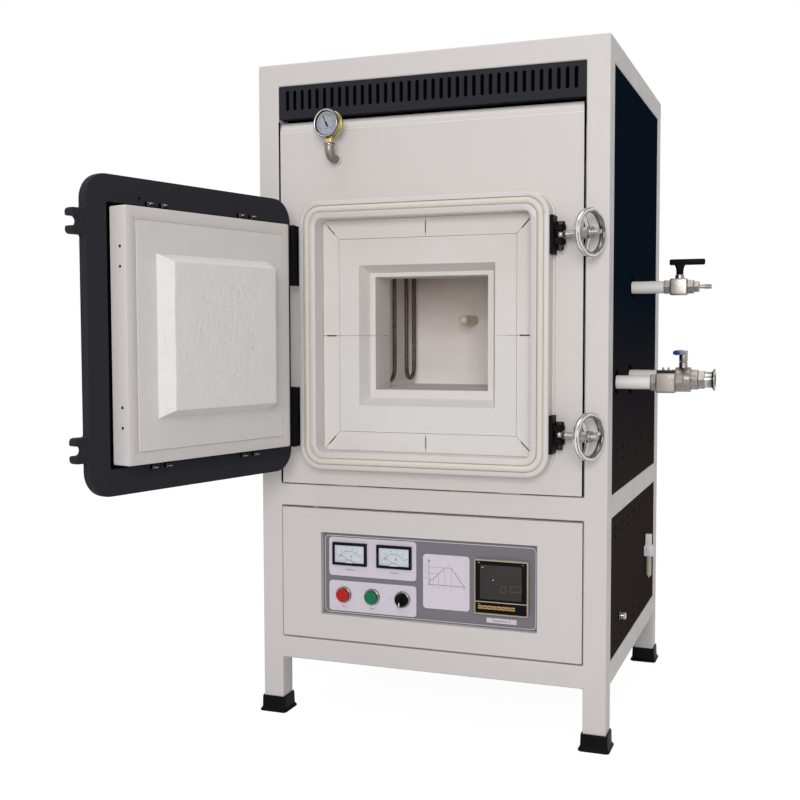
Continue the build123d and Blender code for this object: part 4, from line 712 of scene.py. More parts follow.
def build_stand(sizes):
    """Square-tube frame as the filled cells of one lattice, its joints ground smooth, and four foot caps."""
    shell = Shell()
    xs = np.array([-SIDE, TUBE - SIDE, SIDE - TUBE, SIDE])
    ys = np.array([-DEPTH, TUBE - DEPTH, DEPTH - TUBE, DEPTH])
    zs = np.array([POST_FOOT] + [z for rail in RAILS for z in (rail, rail + TUBE)])
    post_x, post_y = np.array([1, 0, 1], bool), np.array([1, 0, 1], bool)
    level = np.array([0, 1, 0, 1, 0, 1], bool)
    posts = post_x[:, None, None] & post_y[None, :, None] & np.ones(6, bool)[None, None]
    rings = (post_x[:, None, None] | post_y[None, :, None]) & level[None, None]
    lattice(shell, xs, ys, zs, posts | rings)
    piece("stand_frame", shell, ["light"], "cabinet", ["corner_posts", "frame_rails"],
          bevel=sizes.tube_edge / MM, segments=3)
    caps = Shell()
    for x in (TUBE / 2 - SIDE, SIDE - TUBE / 2):
        for y in (TUBE / 2 - DEPTH, DEPTH - TUBE / 2):
            levels = [(50, 50, 5, 0.0), (53, 53, 6, 0.8), (54, 54, 6.5, 3.2), (52.5, 52.5, 6, 4.4),
                      (48.5, 48.5, 5, 6.4), (47, 47, 4.5, 9), (46, 46, 4, 26), (45.2, 45.2, 4, 29),
                      (43.5, 43.5, 3.6, 30), (41, 41, 3, 29.6), (40.6, 40.6, 2.8, 27),
                      (40.6, 40.6, 2.8, 12), (39.8, 39.8, 2.8, 11.8)]
            grid = rect_stack([row + (x, y) for row in levels], 6)
            caps.net(grid, UP)
    piece("foot_caps_moulded", caps, ["black"], "cabinet", ["foot_caps"], crease=50)


def build_covers():
    """Finishes of the carried covers, screws at the back, dark seams, painted shadow on the grille's slot
    rims, behind the grille and in the gaps round the pipes, and a painted highlight along the front plate's
    rolled top.
    """
    for node, finish in (("vent_grille", "dark"), ("vessel_front_plate", "light"),
                         ("control_fascia", "light"), ("right_panels", "cover"), ("left_panels", "cover"),
                         ("rear_panels", "cover"), ("deck_plates", "cover"), ("vessel_shell", "cast"),
                         ("vessel_cradle", "light")):
        coat(node, finish)
    screws = Shell()
    head = [(0.4, 293.2), (1.6, 293.25), (1.8, 294.3), (2.6, 294.2), (3.8, 293.5), (4.2, 292.6),
            (4.2, 291.4), (0.4, 291.4)]
    for x in (-262, 262):
        for z in (450, 790, 1130, 162, 268, 374):
            screws.lathe(head, BACK, x, z, sides=18)
    seams_painted_shade_and_highlight = Shell()
    for x in (-SEAM_X, SEAM_X):
        seams_painted_shade_and_highlight.slab(3.0, SEAM_LENGTH, 0.4, 299.0, 300.35, 0.1, x, SEAM_MID, steps=2)
    for z in FASCIA_EDGES:
        seams_painted_shade_and_highlight.slab(556, 0.6, 0.2, 299.0, 300.15, 0.05, 0, z, steps=2)
    # painted shadow: black rims round the edges of the grille's slots
    for k in range(SLOTS):
        edge = rounded_rect(SLOT_W, SLOT_H, 2.74, 5) + ((k - SLOTS // 2) * SLOT_PITCH, SLOT_MID)
        seams_painted_shade_and_highlight.stroke(edge, 0.9, 297.9, 298.08, ring=True)
    # painted shadow: a black sheet behind the grille, where the slots show shade
    seams_painted_shade_and_highlight.slab(556, 54, 0.5, 293.0, 293.8, 0.1, 0, 1121.5, steps=2)
    # painted shadow: black rings that fill the gap round each pipe in the side cover
    low, high = COVER_FACE - 0.2, COVER_FACE + 0.16
    for (y, z), bore, reach in PIPE_GAPS:
        seams_painted_shade_and_highlight.lathe([(bore, low), (reach, low), (reach, high), (bore, high)], RIGHT, y, z, 40, ring=True)
    # painted highlight: a bright strip of lighter enamel along the bend of the front plate's rolled top edge
    seams_painted_shade_and_highlight.slab(554, 1.1, 0.3, 299.8, 300.12, 0.1, 0, 1066.5, steps=2, tint=1)
    piece("joint_lines_painted_shade_and_highlight", seams_painted_shade_and_highlight, ["shadow", "pipe"], "cabinet")
    piece("cover_screws", screws, ["blackened"], "cabinet")


def build_flange(sizes):
    """Flange section carried round a rounded square, its seal cord and the rippled weld at its foot."""
    def level(width, depth):
        return (width, width + 22, 12 + (width - 390) * 28 / 64, DEPTH + depth, 0, DOOR_Z)

    shell = Shell()
    section = [(390, 0), (390, 31.2), (390.6, 32.4), (391.8, 33), (411, 33), (412, 32.4), (412, 25),
               (436, 25), (436, 32.4), (437, 33), (448, 33), (451, 32.5), (453.2, 31.2), (454, 29),
               (454, 0)]
    shell.net(rect_stack([level(*row) for row in section], 14), FRONT, ring=True)
    piece("door_flange_ring", shell, ["light"], "cabinet", ["door_flange"], crease=50)

    rise = sizes.seal_rise / MM
    cord = Shell()
    turn = np.linspace(0, pi, 13)
    section = [(424 - 11.9 * cos(a), 27 + (6 + rise) * sin(a) ** 0.7) for a in turn]
    section += [(435.9, 25.2), (412.1, 25.2)]
    cord.net(rect_stack([level(*row) for row in section], 14), FRONT, ring=True)
    piece("seal_cord", cord, ["seal"], "cabinet", ["door_seal"], crease=60)

    leg, pitch = sizes.weld_leg / MM, sizes.weld_pitch / MM
    loop = rounded_rect(454, 476, 40, 24)
    step = np.linalg.norm(np.roll(loop, -1, 0) - loop, axis=1)
    run = np.concatenate([[0], np.cumsum(step)])
    along = np.linspace(0, run[-1], int(run[-1] / 1.5), endpoint=False)
    closed = np.vstack([loop, loop[:1]])
    path = np.stack([np.interp(along, run, closed[:, k]) for k in range(2)], 1)
    ahead = np.roll(path, -1, 0) - np.roll(path, 1, 0)
    ahead /= np.linalg.norm(ahead, axis=1, keepdims=True)
    normal = np.stack([ahead[:, 1], -ahead[:, 0]], 1)
    rough = wander(np.stack([along, along * 0], 1), 14.0, 5)
    ripple = 1 + 0.13 * np.abs(np.sin(pi * along / pitch)) + 0.1 * rough
    angle = np.linspace(0, pi / 2, 7)
    bulge = np.stack([np.cos(angle), np.sin(angle)], 1) * leg * 0.82
    section = np.vstack([bulge, [(-0.4, leg * 0.82), (-0.4, -0.3), (leg * 0.82, -0.3)]])
    out = section[None, :, 0] * ripple[:, None]
    grid = np.concatenate([path[:, None] + normal[:, None] * out[..., None] + (0, DOOR_Z),
                           300 + (section[None, :, 1] * ripple[:, None])[..., None]], 2)
    bead = Shell()
    bead.net(grid, FRONT, ring=True)
    piece("flange_weld", bead, ["light"], "cabinet", crease=70)


def build_lining():
    """Boards and chamber carried from the frame, heating rods and thermocouple drawn out as smooth sweeps."""
    for node, finish in (("surround_boards", "board"), ("throat_boards", "board"),
                         ("chamber_floor", "lining"), ("chamber_walls", "lining"),
                         ("chamber_roof", "lining"), ("element_terminals", "steel")):
        coat(node, finish)
    rods = Shell()
    for x in ROD_XS:
        for y in ROD_YS:
            bend = arc((y, 639), ROD_BEND, 180, 360, 20)
            down = np.column_stack([np.full(40, y - ROD_BEND), np.linspace(840, 641, 40)])
            flat = np.vstack([down, bend, (down + (2 * ROD_BEND, 0))[::-1]])
            rods.tube(np.column_stack([np.full(len(flat), x), flat]), 4.0, UP, 18)
            for leg in (-ROD_BEND, ROD_BEND):
                rods.lathe([(3, 838), (6.5, 838), (8, 841), (8, 948), (7, 950), (0.1, 950)],
                           UP.moved(x, y + leg), sides=20)
    piece("heating_rods", rods, ["rod"], "cabinet", ["heating_elements"], crease=50)
    probe = Shell()
    tip = [(0.1, 75.0), (3.5, 74.6), (6.6, 73), (8.5, 70), (9, 66.5), (9, 10), (9, -119), (0.1, -119)]
    probe.lathe(tip, FRONT, *PROBE, 32)
    probe.lathe([(0.1, -150), (21, -150), (23.5, -148), (24, -145), (24, -122.5), (22, -120.2),
                 (0.1, -120.2)], FRONT, *PROBE, 32, tint=1)
    piece("thermocouple_sheath", probe, ["ceramic", "steel"], "cabinet", ["thermocouple"],
          crease=40)


def trowel_stroke(spots, chance):
    """Height of one curved trowel mark: a narrow crest along part of a circle, fading at both ends."""
    centre = chance.uniform(-95, 95, 2)
    radius, width = chance.uniform(8, 70), chance.uniform(0.6, 1.2)
    start, sweep = chance.uniform(0, tau), chance.uniform(0.3, 1.1)
    offset = spots - centre
    distance = np.hypot(offset[..., 0], offset[..., 1])
    angle = (np.arctan2(offset[..., 1], offset[..., 0]) - start) % tau / sweep
    ends = np.where(angle < 1, np.sin(pi * np.clip(angle, 0, 1)) ** 0.6, 0.0)
    crest = np.exp(-((distance - radius) / width) ** 2)
    groove = np.exp(-((distance - radius + 2.2 * width) / width) ** 2)
    return chance.uniform(0.2, 0.75) * ends * (crest - 0.7 * groove)


def build_door(sizes):
    """Door plate with slotted ears as one filleted outline, its tray, board and hand-finished plug."""
    middle = -HINGE[0]
    half_w, half_h = DOOR_HALF
    outline = [(-half_w, -half_h, 40), (half_w, -half_h, 40)]
    for ear in (BOLT_HEIGHTS["lower"] - DOOR_Z, BOLT_HEIGHTS["upper"] - DOOR_Z):
        outline += [(half_w, ear - 19, 3), (252, ear - 19, 6), (252, ear - 7, 3), (235, ear - 7, 6.9),
                    (235, ear + 7, 6.9), (252, ear + 7, 3), (252, ear + 19, 6), (half_w, ear + 19, 3)]
    outline += [(half_w, half_h, 40), (-half_w, half_h, 40)]
    shell = Shell()
    shell.prism(filleted(outline, 8) + (middle, DOOR_Z), -3, 12, DOOR)
    piece("door_plate_with_ears", shell, ["dark"], "door", ["door_plate"],
          bevel=sizes.plate_edge / MM, segments=3)

    tray = Shell()
    edge = 1.6
    levels = [(365, 382, 3, -4.0), (365, 382, 3, -37 + edge),
              (365 - edge * 0.6, 382 - edge * 0.6, 3, -37 + edge * 0.3),
              (365 - edge * 2, 382 - edge * 2, 2, -37), (328, 344, 1.5, -37), (327, 343, 1.2, -36.6),
              (327, 343, 1.2, -34), (361, 378, 2, -33.5), (361, 378, 2, -4.0)]
    tray.net(rect_stack([(w, h, r, z, middle, DOOR_Z) for w, h, r, z in levels], 5), DOOR, ring=True)
    for height in TRAY_SCREWS:
        side = Place(DOOR((middle + 182.5, height, -25.0)), DOOR.z, DOOR.x)
        tray.lathe([(0.2, 0.7), (0.8, 0.6), (0.9, 1.1), (1.5, 1.1), (2.0, 0.8), (2.2, 0.3), (2.2, -0.5),
                    (0.2, -0.5)], side, sides=18, tint=1)
    piece("door_tray_folded", tray, ["light", "blackened"], "door", ["door_tray"],
          crease=40)

    board = Shell()
    u, v = np.meshgrid(np.linspace(0, 1, 60), np.linspace(0, 1, 62))
    swell = 0.25 * wander(np.stack([u * BOARD_W, v * BOARD_H], 2), 24.0, 11)
    skin = np.stack([middle + (u - 0.5) * BOARD_W, DOOR_Z + (v - 0.5) * BOARD_H, -39 + swell], 2)
    board.sheet(skin, DOOR)
    rim = np.stack([np.concatenate([skin[0, :-1], skin[:-1, -1], skin[-1, :0:-1], skin[:0:-1, 0]])] * 2)
    rim[1, :, 2] = -34.2
    board.net(rim, DOOR, caps=False)
    piece("door_board_face", board, ["skim"], "door", ["door_board"], crease=40)

    trim_and_painted_shadow = Shell()
    # painted shadow: a black band round the tray's foot, where the tray stands off the plate
    border = [(376, 394, 3, -3.02), (376, 394, 3, -3.25), (364.6, 381.6, 3, -3.25), (364.6, 381.6, 3, -3.02)]
    trim_and_painted_shadow.net(rect_stack([(w, h, r, z, middle, DOOR_Z) for w, h, r, z in border], 5), DOOR, ring=True, tint=1)
    # painted shadow: a black disc in the small hole near the top of the plate
    trim_and_painted_shadow.lathe([(0.2, -3.2), (2.2, -3.2), (2.2, -3.0), (0.2, -3.0)], DOOR, *HOLE, 20, tint=1)
    turn = np.linspace(0, tau, 24, endpoint=False)
    for height, reaches in CLIPS.items():
        for reach in reaches:
            foot = Place(DOOR((reach, height, -3.0)), DOOR.x, -DOOR.z)
            trim_and_painted_shadow.slab(11, 7, 2.5, -0.2, 1.6, 0.5, place=foot, tint=1, steps=4)
            trim_and_painted_shadow.lathe([(0.2, 1.4), (2.9, 1.4), (3.1, 1.8), (3.1, 2.8), (1.7, 3.4), (1.5, 4.6),
                        (0.2, 4.6)], foot, sides=20)
            eye = np.stack([3.7 * np.cos(turn), 0 * turn, 7.6 + 3.7 * np.sin(turn)], 1)
            trim_and_painted_shadow.tube(eye, 1.15, foot, 10, ring=True)
    piece("door_trim_and_painted_shadow", trim_and_painted_shadow, ["plated", "shadow"], "door", crease=40)

    plug = Shell()
    lump = sizes.board_lump / MM
    row = np.linspace(-1, 1, 190)
    a, b = np.meshgrid(row, row)
    spots = np.stack([a * PLUG_HALF[0], b * PLUG_HALF[1]], 2)
    height = 0.5 * lump * wander(spots, 26.0, 3) + 0.2 * lump * wander(spots, 5.0, 4)
    chance = np.random.default_rng(21)
    for _ in range(sizes.strokes):
        height += trowel_stroke(spots, chance) * lump
    edge_of = np.maximum(np.abs(a), np.abs(b))
    settle = np.clip((1 - edge_of) / 0.02, 0, 1)
    face = PLUG_FACE - np.clip(height, -0.6, 0.78) * settle + 0.35 * (1 - settle) ** 2
    front = np.stack([middle + spots[..., 0], DOOR_Z + spots[..., 1], face], 2)
    plug.sheet(front, DOOR)
    loop = np.concatenate([front[0, :-1], front[:-1, -1], front[-1, :0:-1], front[:0:-1, 0]])
    part = np.linspace(0, 1, 24)[:, None, None]
    centre = np.array([middle, DOOR_Z, 0])
    flare = np.array(PLUG_ROOT_HALF) / PLUG_HALF
    base = (loop - centre) * (*flare, 0) + centre + (0, 0, -38.9)
    skirt = loop * (1 - part) + base * part
    along = np.cumsum(np.linalg.norm(np.diff(loop, axis=0, append=loop[:1]), axis=1))
    rough = wander(np.stack(np.broadcast_arrays(along[None], part[..., 0] * 30.0), 2), 7.0, 8)
    fade = (np.sin(pi * part[..., 0]) * 0.5 * lump * (0.4 + rough))[..., None]
    outward = (loop - centre) / np.maximum(np.abs(loop - centre)[:, :2].max(1, keepdims=True), 1)
    skirt[:, :, :2] -= np.maximum(fade, 0) * outward[None, :, :2]
    plug.net(skirt, DOOR, caps=False)
    piece("door_plug_trowelled", plug, ["plug"], "door", ["door_plug"], crease=50)


def build_hinges():
    """Finishes of the leaves and brackets, the domed hinge pins and the clevis pins with their nuts."""
    for node in ("hinge_brackets", "hinge_leaves", "clevis_brackets"):
        coat(node, "black")
    pins = Shell()
    half = HINGE_PIN_HALF
    for height in HINGE_HEIGHTS:
        axis = UP.moved(HINGE[0], HINGE[1], height)
        pins.lathe([(0.2, half + 1.9), (3, half + 1.8), (5.2, half + 1.2), (6, half + 0.3), (6, half),
                    (4, half), (4, -half), (3.4, -half - 0.8), (0.2, -half - 0.8)], axis, sides=28)
    for height in BOLT_HEIGHTS.values():
        axis = UP.moved(BOLT[0], BOLT[1], height)
        pins.lathe([(3, -25.6), (3, 15.9), (0.2, 15.9), (0.2, -25.6)], axis, sides=20, ring=True)
        for radius, low, high in ((7.5, 15.8, 21.6), (5.4, -25.6, -15.8)):
            pins.prism(hexagon(radius, radians(10)), low, high, axis, chamfer=0.7)
        pins.lathe([(0.2, 21.7), (3.6, 21.75), (6.2, 21.7), (6.2, 21.0), (0.2, 21.0)], axis, sides=24)
    piece("pivot_pins_and_heads", pins, ["blackened"], "cabinet", ["pivot_pins"], crease=40)


def loop_at(radius, z, turn):
    """One row of a grid: a circle of the radius at height z, its points at the angles turn."""
    return np.stack([radius * np.cos(turn), radius * np.sin(turn), np.full(len(turn), z)], 1)[None]


def build_bolts(sizes):
    """Eye bolts: ball on the rod's end, relief neck, thread as a ridge whose height follows a helix."""
    pitch = sizes.thread_pitch / MM
    for level in BOLT_HEIGHTS:
        place = bolt_place(level)
        rod = Shell()
        turn = np.linspace(0, tau, 24, endpoint=False)
        reach = np.linspace(12.2, 74.6, 330)
        phase = (reach[:, None] / pitch - turn[None] / tau) % 1.0
        radius = 5.99 - 0.52 * np.abs(2 * phase - 1) ** 1.3
        fade = np.clip((reach - 12.2) / 2, 0, 1)[:, None] * np.clip((75.2 - reach) / 2.5, 0.0, 1)[:, None]
        radius = 5.3 * (1 - fade) + radius * fade
        along = np.broadcast_to(reach[:, None], radius.shape)
        grid = np.stack([radius * np.cos(turn), radius * np.sin(turn), along], 2)
        neck = [loop_at(r, z, turn) for r, z in ((3.8, 5.0), (3.8, 10.6), (4.4, 11.2))]
        tip = [loop_at(r, z, turn) for r, z in ((4.6, 75.9), (0.3, 76.0))]
        grid = np.concatenate([*neck, grid, *tip])
        rod.net(grid, place)
        angle = np.linspace(-1, 1, 15) * radians(62)
        ball = [(7.5 * cos(a), 7.0 * sin(a) / sin(radians(62))) for a in angle]
        centre = UP.moved(*place.origin)
        rod.lathe(ball + [(3.1, 6.9), (3.1, -6.9)], centre, sides=36, ring=True)
        piece(f"{level}_bolt_threaded", rod, ["steel"], f"{level}_bolt", [f"{level}_eye_bolt"],
              crease=50)

        washer = Shell()
        washer.lathe([(6.3, 38.5), (9.6, 38.5), (10, 38.9), (10, 41.1), (9.6, 41.5), (6.3, 41.5)], place,
                     sides=36, ring=True)
        piece(f"{level}_washer_turned", washer, ["steel"], f"{level}_washer",
              [f"{level}_thrust_washer"])


def build_wheels(sizes):
    """Handwheels: rim section rolled round its axis, dished spokes that taper outwards, turned hub."""
    depth = sizes.rim_depth / MM
    for level in BOLT_HEIGHTS:
        place = bolt_place(level)
        wheel = Shell()
        low, high = 64.5 - depth, 64.5
        middle = (low + high) / 2
        angle = np.linspace(0, tau, 20, endpoint=False)
        power = 0.72
        shape = [(35.65 + 4.3 * np.sign(cos(a)) * abs(cos(a)) ** power,
                  middle + depth / 2 * np.sign(sin(a)) * abs(sin(a)) ** power) for a in angle]
        wheel.lathe(shape, place, sides=72, ring=True)
        hub = [(6.1, 41.9), (8.6, 41.9), (9.6, 42.5), (10, 43.6), (10, 54), (9.2, 56.5), (9.2, 60.5),
               (9.6, 62.8), (9.2, 64.2), (8.2, 64.9), (6.9, 64.6), (6.1, 63.8)]
        wheel.lathe(hub, place, sides=40, ring=True, tint=1)
        for k in range(sizes.spokes):
            spin = radians(35 + 360 / sizes.spokes * k)
            reach = np.linspace(8.6, 33.5, 14)
            part = (reach - 8.6) / 24.9
            wide = 5.2 - 1.2 * np.sin(pi * part) ** 0.8
            lift = 57.6 + 1.6 * part
            turn = np.linspace(0, tau, 16, endpoint=False)
            across = wide[:, None] * np.sign(np.cos(turn)) * np.abs(np.cos(turn)) ** 0.7
            up = lift[:, None] + 1.9 * np.sign(np.sin(turn)) * np.abs(np.sin(turn)) ** 0.7
            out = np.broadcast_to(reach[:, None], across.shape)
            grid = np.stack([out * cos(spin) - across * sin(spin), out * sin(spin) + across * cos(spin),
                             up], 2)
            wheel.net(grid, place, band=np.broadcast_to(turn / tau, across.shape))
        piece(f"{level}_handwheel_polished", wheel, ["plated", "steel"], f"{level}_wheel",
              [f"{level}_handwheel"], crease=45)


def dial_ticks(shell, centre, radii, angles, width, z, place, tint):
    """Radial strokes between two radii, one for each angle in degrees."""
    for angle in np.radians(angles):
        ray = np.array([cos(angle), sin(angle)])
        shell.stroke(np.array([centre + ray * radii[0], centre + ray * radii[1]]), width, z, z + 0.08,
                     place, tint)


def build_meters():
    """Two panel meters: moulded frames, printed scales, needles and the masks over their pivots."""
    coat("meter_cases", "black")
    for stem, unit, x in METERS:
        meter = Shell()
        meter.slab(58.6, 32.6, 0.4, 291.4, 291.95, 0.05, x, 305, steps=2)
        centre = np.array([x, 286.0])
        z = 291.95
        meter.stroke(arc(centre, 24.6, *METER_SWEEP, 30), 0.45, z, z + 0.08, tint=1)
        meter.stroke(arc(centre, 21.4, *METER_SWEEP, 30), 0.22, z, z + 0.08, tint=1)
        dial_ticks(meter, centre, (24.6, 27.4), np.linspace(*METER_SWEEP, 6), 0.42, z, FRONT, 1)
        dial_ticks(meter, centre, (24.6, 26.0), np.linspace(*METER_SWEEP, 26), 0.2, z, FRONT, 1)
        meter.stroke(arc(centre, 23.0, METER_SWEEP[0], 137, 4), 1.3, z, z + 0.09, tint=2)
        for k, angle in enumerate(np.radians(np.linspace(*METER_SWEEP, 6))):
            meter.words(str(k * 10), 3.0, x + 30.2 * cos(angle), 286.2 + 29.3 * sin(angle), z, z + 0.08,
                        tint=1)
        meter.words(unit, 8.0, x + 3.5, 301.0, z, z + 0.08, tint=1)
        edge = arc((x, 284.0), 10.6, 30, 150, 20)
        mask = np.vstack([edge, [(x - 9.2, 289.0), (x + 9.2, 289.0)]])
        meter.prism(mask, 293.5, 294.1, tint=0)
        meter.stroke(arc((x, 284.0), 10.3, 30, 150, 20), 0.5, 294.1, 294.2, tint=1)
        frame_line = rounded_rect(63.4, 38.4, 1.4, 4) + (x, 305)
        meter.stroke(frame_line, 0.5, 294.75, 294.85, tint=3, ring=True)
        piece(f"{stem}_scale", meter, ["paper", "ink", "red_ink", "blackened"], "cabinet")
        hand = Shell()
        rest = radians(METER_SWEEP[0])
        ray = np.array([cos(rest), sin(rest)])
        hand.stroke(np.array([(x, 292.0) - 0.4 * ray, (x, 292.0) + 21.9 * ray]), 0.5, 292.42, 292.8)
        hand.lathe([(0.2, 292.41), (1.58, 292.41), (1.58, 293.0), (1.2, 293.19), (0.2, 293.19)], FRONT, x,
                   292.0, 20)
        piece(f"{stem}_hand", hand, ["red_ink"], f"{stem}_pointer", [f"{stem}_needle"])


def build_panel():
    """Instrument plate and its printed labels: outline, captions and the firing diagram."""
    coat("control_plate", "plate")
    coat("label_plates", "label")
    marks = Shell()
    border = rounded_rect(394.5, 141, 8, 8) + (-0.75, 266.5)
    marks.stroke(border, 0.9, 287.95, 288.12, ring=True)
    for centre, size, radius in (((-105.5, 299.3), (169, 70.4), 6), ((-105.5, 227), (169, 55.5), 6),
                                 ((35, 266.3), (86, 97), 6), ((136, 206), (54, 8.4), 0.8)):
        edge = rounded_rect(size[0] - 0.5, size[1] - 0.5, radius, 6) + centre
        marks.stroke(edge, 0.5, 288.75, 288.9, ring=True)
    z = LABEL_FACE
    for text, size, x, y in (("Voltmeter", 4.2, -148.5, 276.0), ("Ammeter", 4.2, -62.3, 276.0),
                             ("Stop", 4.2, -161, 208.0), ("Start", 4.2, -105.5, 208.0),
                             ("0", 4.2, -67.5, 229.5), ("1", 4.2, -47, 208.0),
                             ("Temperature °C", 5.0, 136, 206)):
        marks.words(text, size, x, y, z - 0.05, z + 0.08, tint=1)
    x0, y0 = corner = np.array(DIAGRAM)
    marks.stroke(np.array([(x0, y0 - 1.5), (x0, y0 + 43)]), 0.6, z, z + 0.08, tint=1)
    marks.stroke(np.array([(x0 - 1.5, y0), (x0 + 69, y0)]), 0.6, z, z + 0.08, tint=1)
    marks.prism([(x0 - 1.6, y0 + 41), (x0 + 1.6, y0 + 41), (x0, y0 + 46)], z, z + 0.08, tint=1)
    curve = corner + np.array([(0, 0), (3.6, 9.5), (7.9, 10.3), (29.4, 31.4), (41.5, 31.9), (65.1, 0.6)])
    marks.stroke(curve, 0.75, z, z + 0.09, tint=1)
    for x in (7.9, 17.9, 29.4, 41.5):
        height = np.interp(x, curve[:, 0] - x0, curve[:, 1] - y0)
        marks.stroke(corner + np.array([(x, 0), (x, height)]), 0.32, z, z + 0.07, tint=1)
    for y, reach in ((9.5, 5.2), (20.3, 17.9), (31.4, 29.4)):
        marks.stroke(corner + np.array([(-5, y), (reach, y)]), 0.32, z, z + 0.07, tint=1)
    for x in np.arange(3, 67, 3.15):
        marks.stroke(corner + np.array([(x, -1.3), (x, 1.3)]), 0.28, z, z + 0.07, tint=1)
    for text, x, y in (("T1", -6.4, 11.8), ("T2", -6.4, 22.6), ("T3", -6.4, 33.7), ("t1", 8.4, -4.3),
                       ("t2", 18.4, -4.3), ("t3", 30, -4.3), ("t4", 42, -4.3), ("t5", 65, -4.3),
                       ("A", 14.7, 21.5), ("B", 35.7, 35), ("C", 58, 17.6)):
        marks.words(text, 2.9, x0 + x, y0 + y, z, z + 0.08, tint=1)
    piece("panel_printing", marks, ["white", "ink"], "cabinet")


def build_buttons():
    """Push buttons with domed lenses in knurled bezels, and the selector with its pointer mark."""
    bezels = Shell()
    ring = [(12.15, 290.5, 0), (12.15, 293.3, 0), (12.5, 293.75, 0), (13.4, 293.8, 0), (14.2, 293.3, 0),
            (14.9, 292.4, 0.22), (15.0, 291.4, 0.28), (15.0, 289.4, 0.28), (14.9, 288.85, 0.1),
            (12.15, 288.85, 0)]
    for x in BUTTON_XS:
        bezels.net(ribbed_rows(ring, 36, 144, x, BUTTON_Z), ring=True)
    piece("bezels_knurled", bezels, ["plated"], "cabinet", ["button_bezels"], crease=40)
    for name, x, colour in (("stop", BUTTON_XS[0], "red"), ("start", BUTTON_XS[1], "green")):
        cap = Shell()
        dome = [(0.2, 288.0), (7.9, 288.0), (7.9, 292.2), (11.6, 292.3), (11.65, 298.9), (11.3, 299.7),
                (10.5, 300.1), (9.6, 299.8), (9.2, 299.2), (8.8, 299.25), (6, 299.7), (3, 299.95),
                (0.2, 300.0)]
        cap.lathe(dome, FRONT, x, BUTTON_Z, 56)
        piece(f"{name}_lens", cap, [colour], f"{name}_push", [f"{name}_button"],
              crease=40)
    knob = Shell()
    knob.lathe([(0.2, 290.0), (11.3, 290.0), (11.65, 290.5), (11.65, 298.2), (11.2, 299.1), (10.2, 299.25),
                (0.2, 299.25)], FRONT, BUTTON_XS[2], BUTTON_Z, 56)
    levels = [(7.9, 23.2, 3.4, 298.8), (7.6, 23.2, 3.4, 302.0), (6.6, 23.0, 3.1, 306.4),
              (6.0, 22.6, 2.9, 307.6), (5.0, 21.6, 2.4, 308.2)]
    knob.net(rect_stack([row + (BUTTON_XS[2], BUTTON_Z) for row in levels], 6))
    knob.slab(1.9, 8.6, 0.9, 307.9, 308.29, 0.05, -47, 223.2, tint=1, steps=4)
    piece("selector_knob_moulded", knob, ["black", "white"], "selector",
          ["selector_knob"], crease=45)


def build_controller():
    """Process controller: tan rim, black face, dark screen with faint traces, and a strip of eight keys."""
    unit = Shell()
    x, y = CONTROLLER
    levels = [(90, 90, 2, 289.0), (95.6, 95.6, 3, 289.2), (95.9, 95.9, 3, 290), (95.9, 95.9, 3, 298.7),
              (95.2, 95.2, 2.7, 299.6), (94.2, 94.2, 2.2, 299.95), (92.6, 92.6, 1.6, 299.95),
              (92.0, 92.0, 1.4, 299.5), (91.8, 91.8, 1.4, 297.5)]
    unit.net(rect_stack([row + (x, y) for row in levels], 5))
    unit.slab(91.4, 70.6, 1.2, 296.5, 298.6, 0.4, x, y + 10.6, tint=1)
    unit.slab(91.4, 18.6, 1.2, 296.5, 298.6, 0.4, x, y - 36.0, tint=1)
    unit.slab(91.9, 1.5, 0.3, 297.0, 299.5, 0.3, x, y - 25.6, tint=0)
    unit.slab(74, 60, 1.2, 298.2, 298.75, 0.2, x - 0.5, y + 9.0, tint=2)
    for width, height, dx, dy in ((9, 11, 4, -11), (18, 10, 26.5, -9)):
        loop = rounded_rect(width, height, 0.5, 2) + (x + dx, y + dy + 9)
        unit.stroke(loop, 0.45, 298.75, 298.83, tint=3, ring=True)
    unit.slab(2.0, 2.0, 0.9, 298.75, 298.85, 0.03, x - 14, y + 13.0, tint=4, steps=3)
    unit.slab(3.0, 1.2, 0.3, 298.75, 298.85, 0.03, x - 33, y + 34.5, tint=4, steps=2)
    for k in range(8):
        unit.slab(7.6, 6.4, 0.8, 298.3, 299.2, 0.3, x - 37.0 + 8.3 * k, y - 35.2, tint=5, steps=3)
        unit.slab(4.6, 1.5, 0.4, 299.2, 299.3, 0.03, x - 37.0 + 8.3 * k, y - 35.2, tint=1, steps=2)
    for text, dx, dy, size in (("PV", -39.5, 42.3, 2.8), ("SV", -39.5, -29.3, 2.4), ("°C", 38.5, 42.3, 2.8)):
        unit.words(text, size, x + dx, y + dy, 298.55, 298.72, tint=4)
    piece("controller_face", unit, ["frame_tan", "black", "glass", "trace", "white", "amber"], "cabinet",
          ["controller_case"], crease=40)


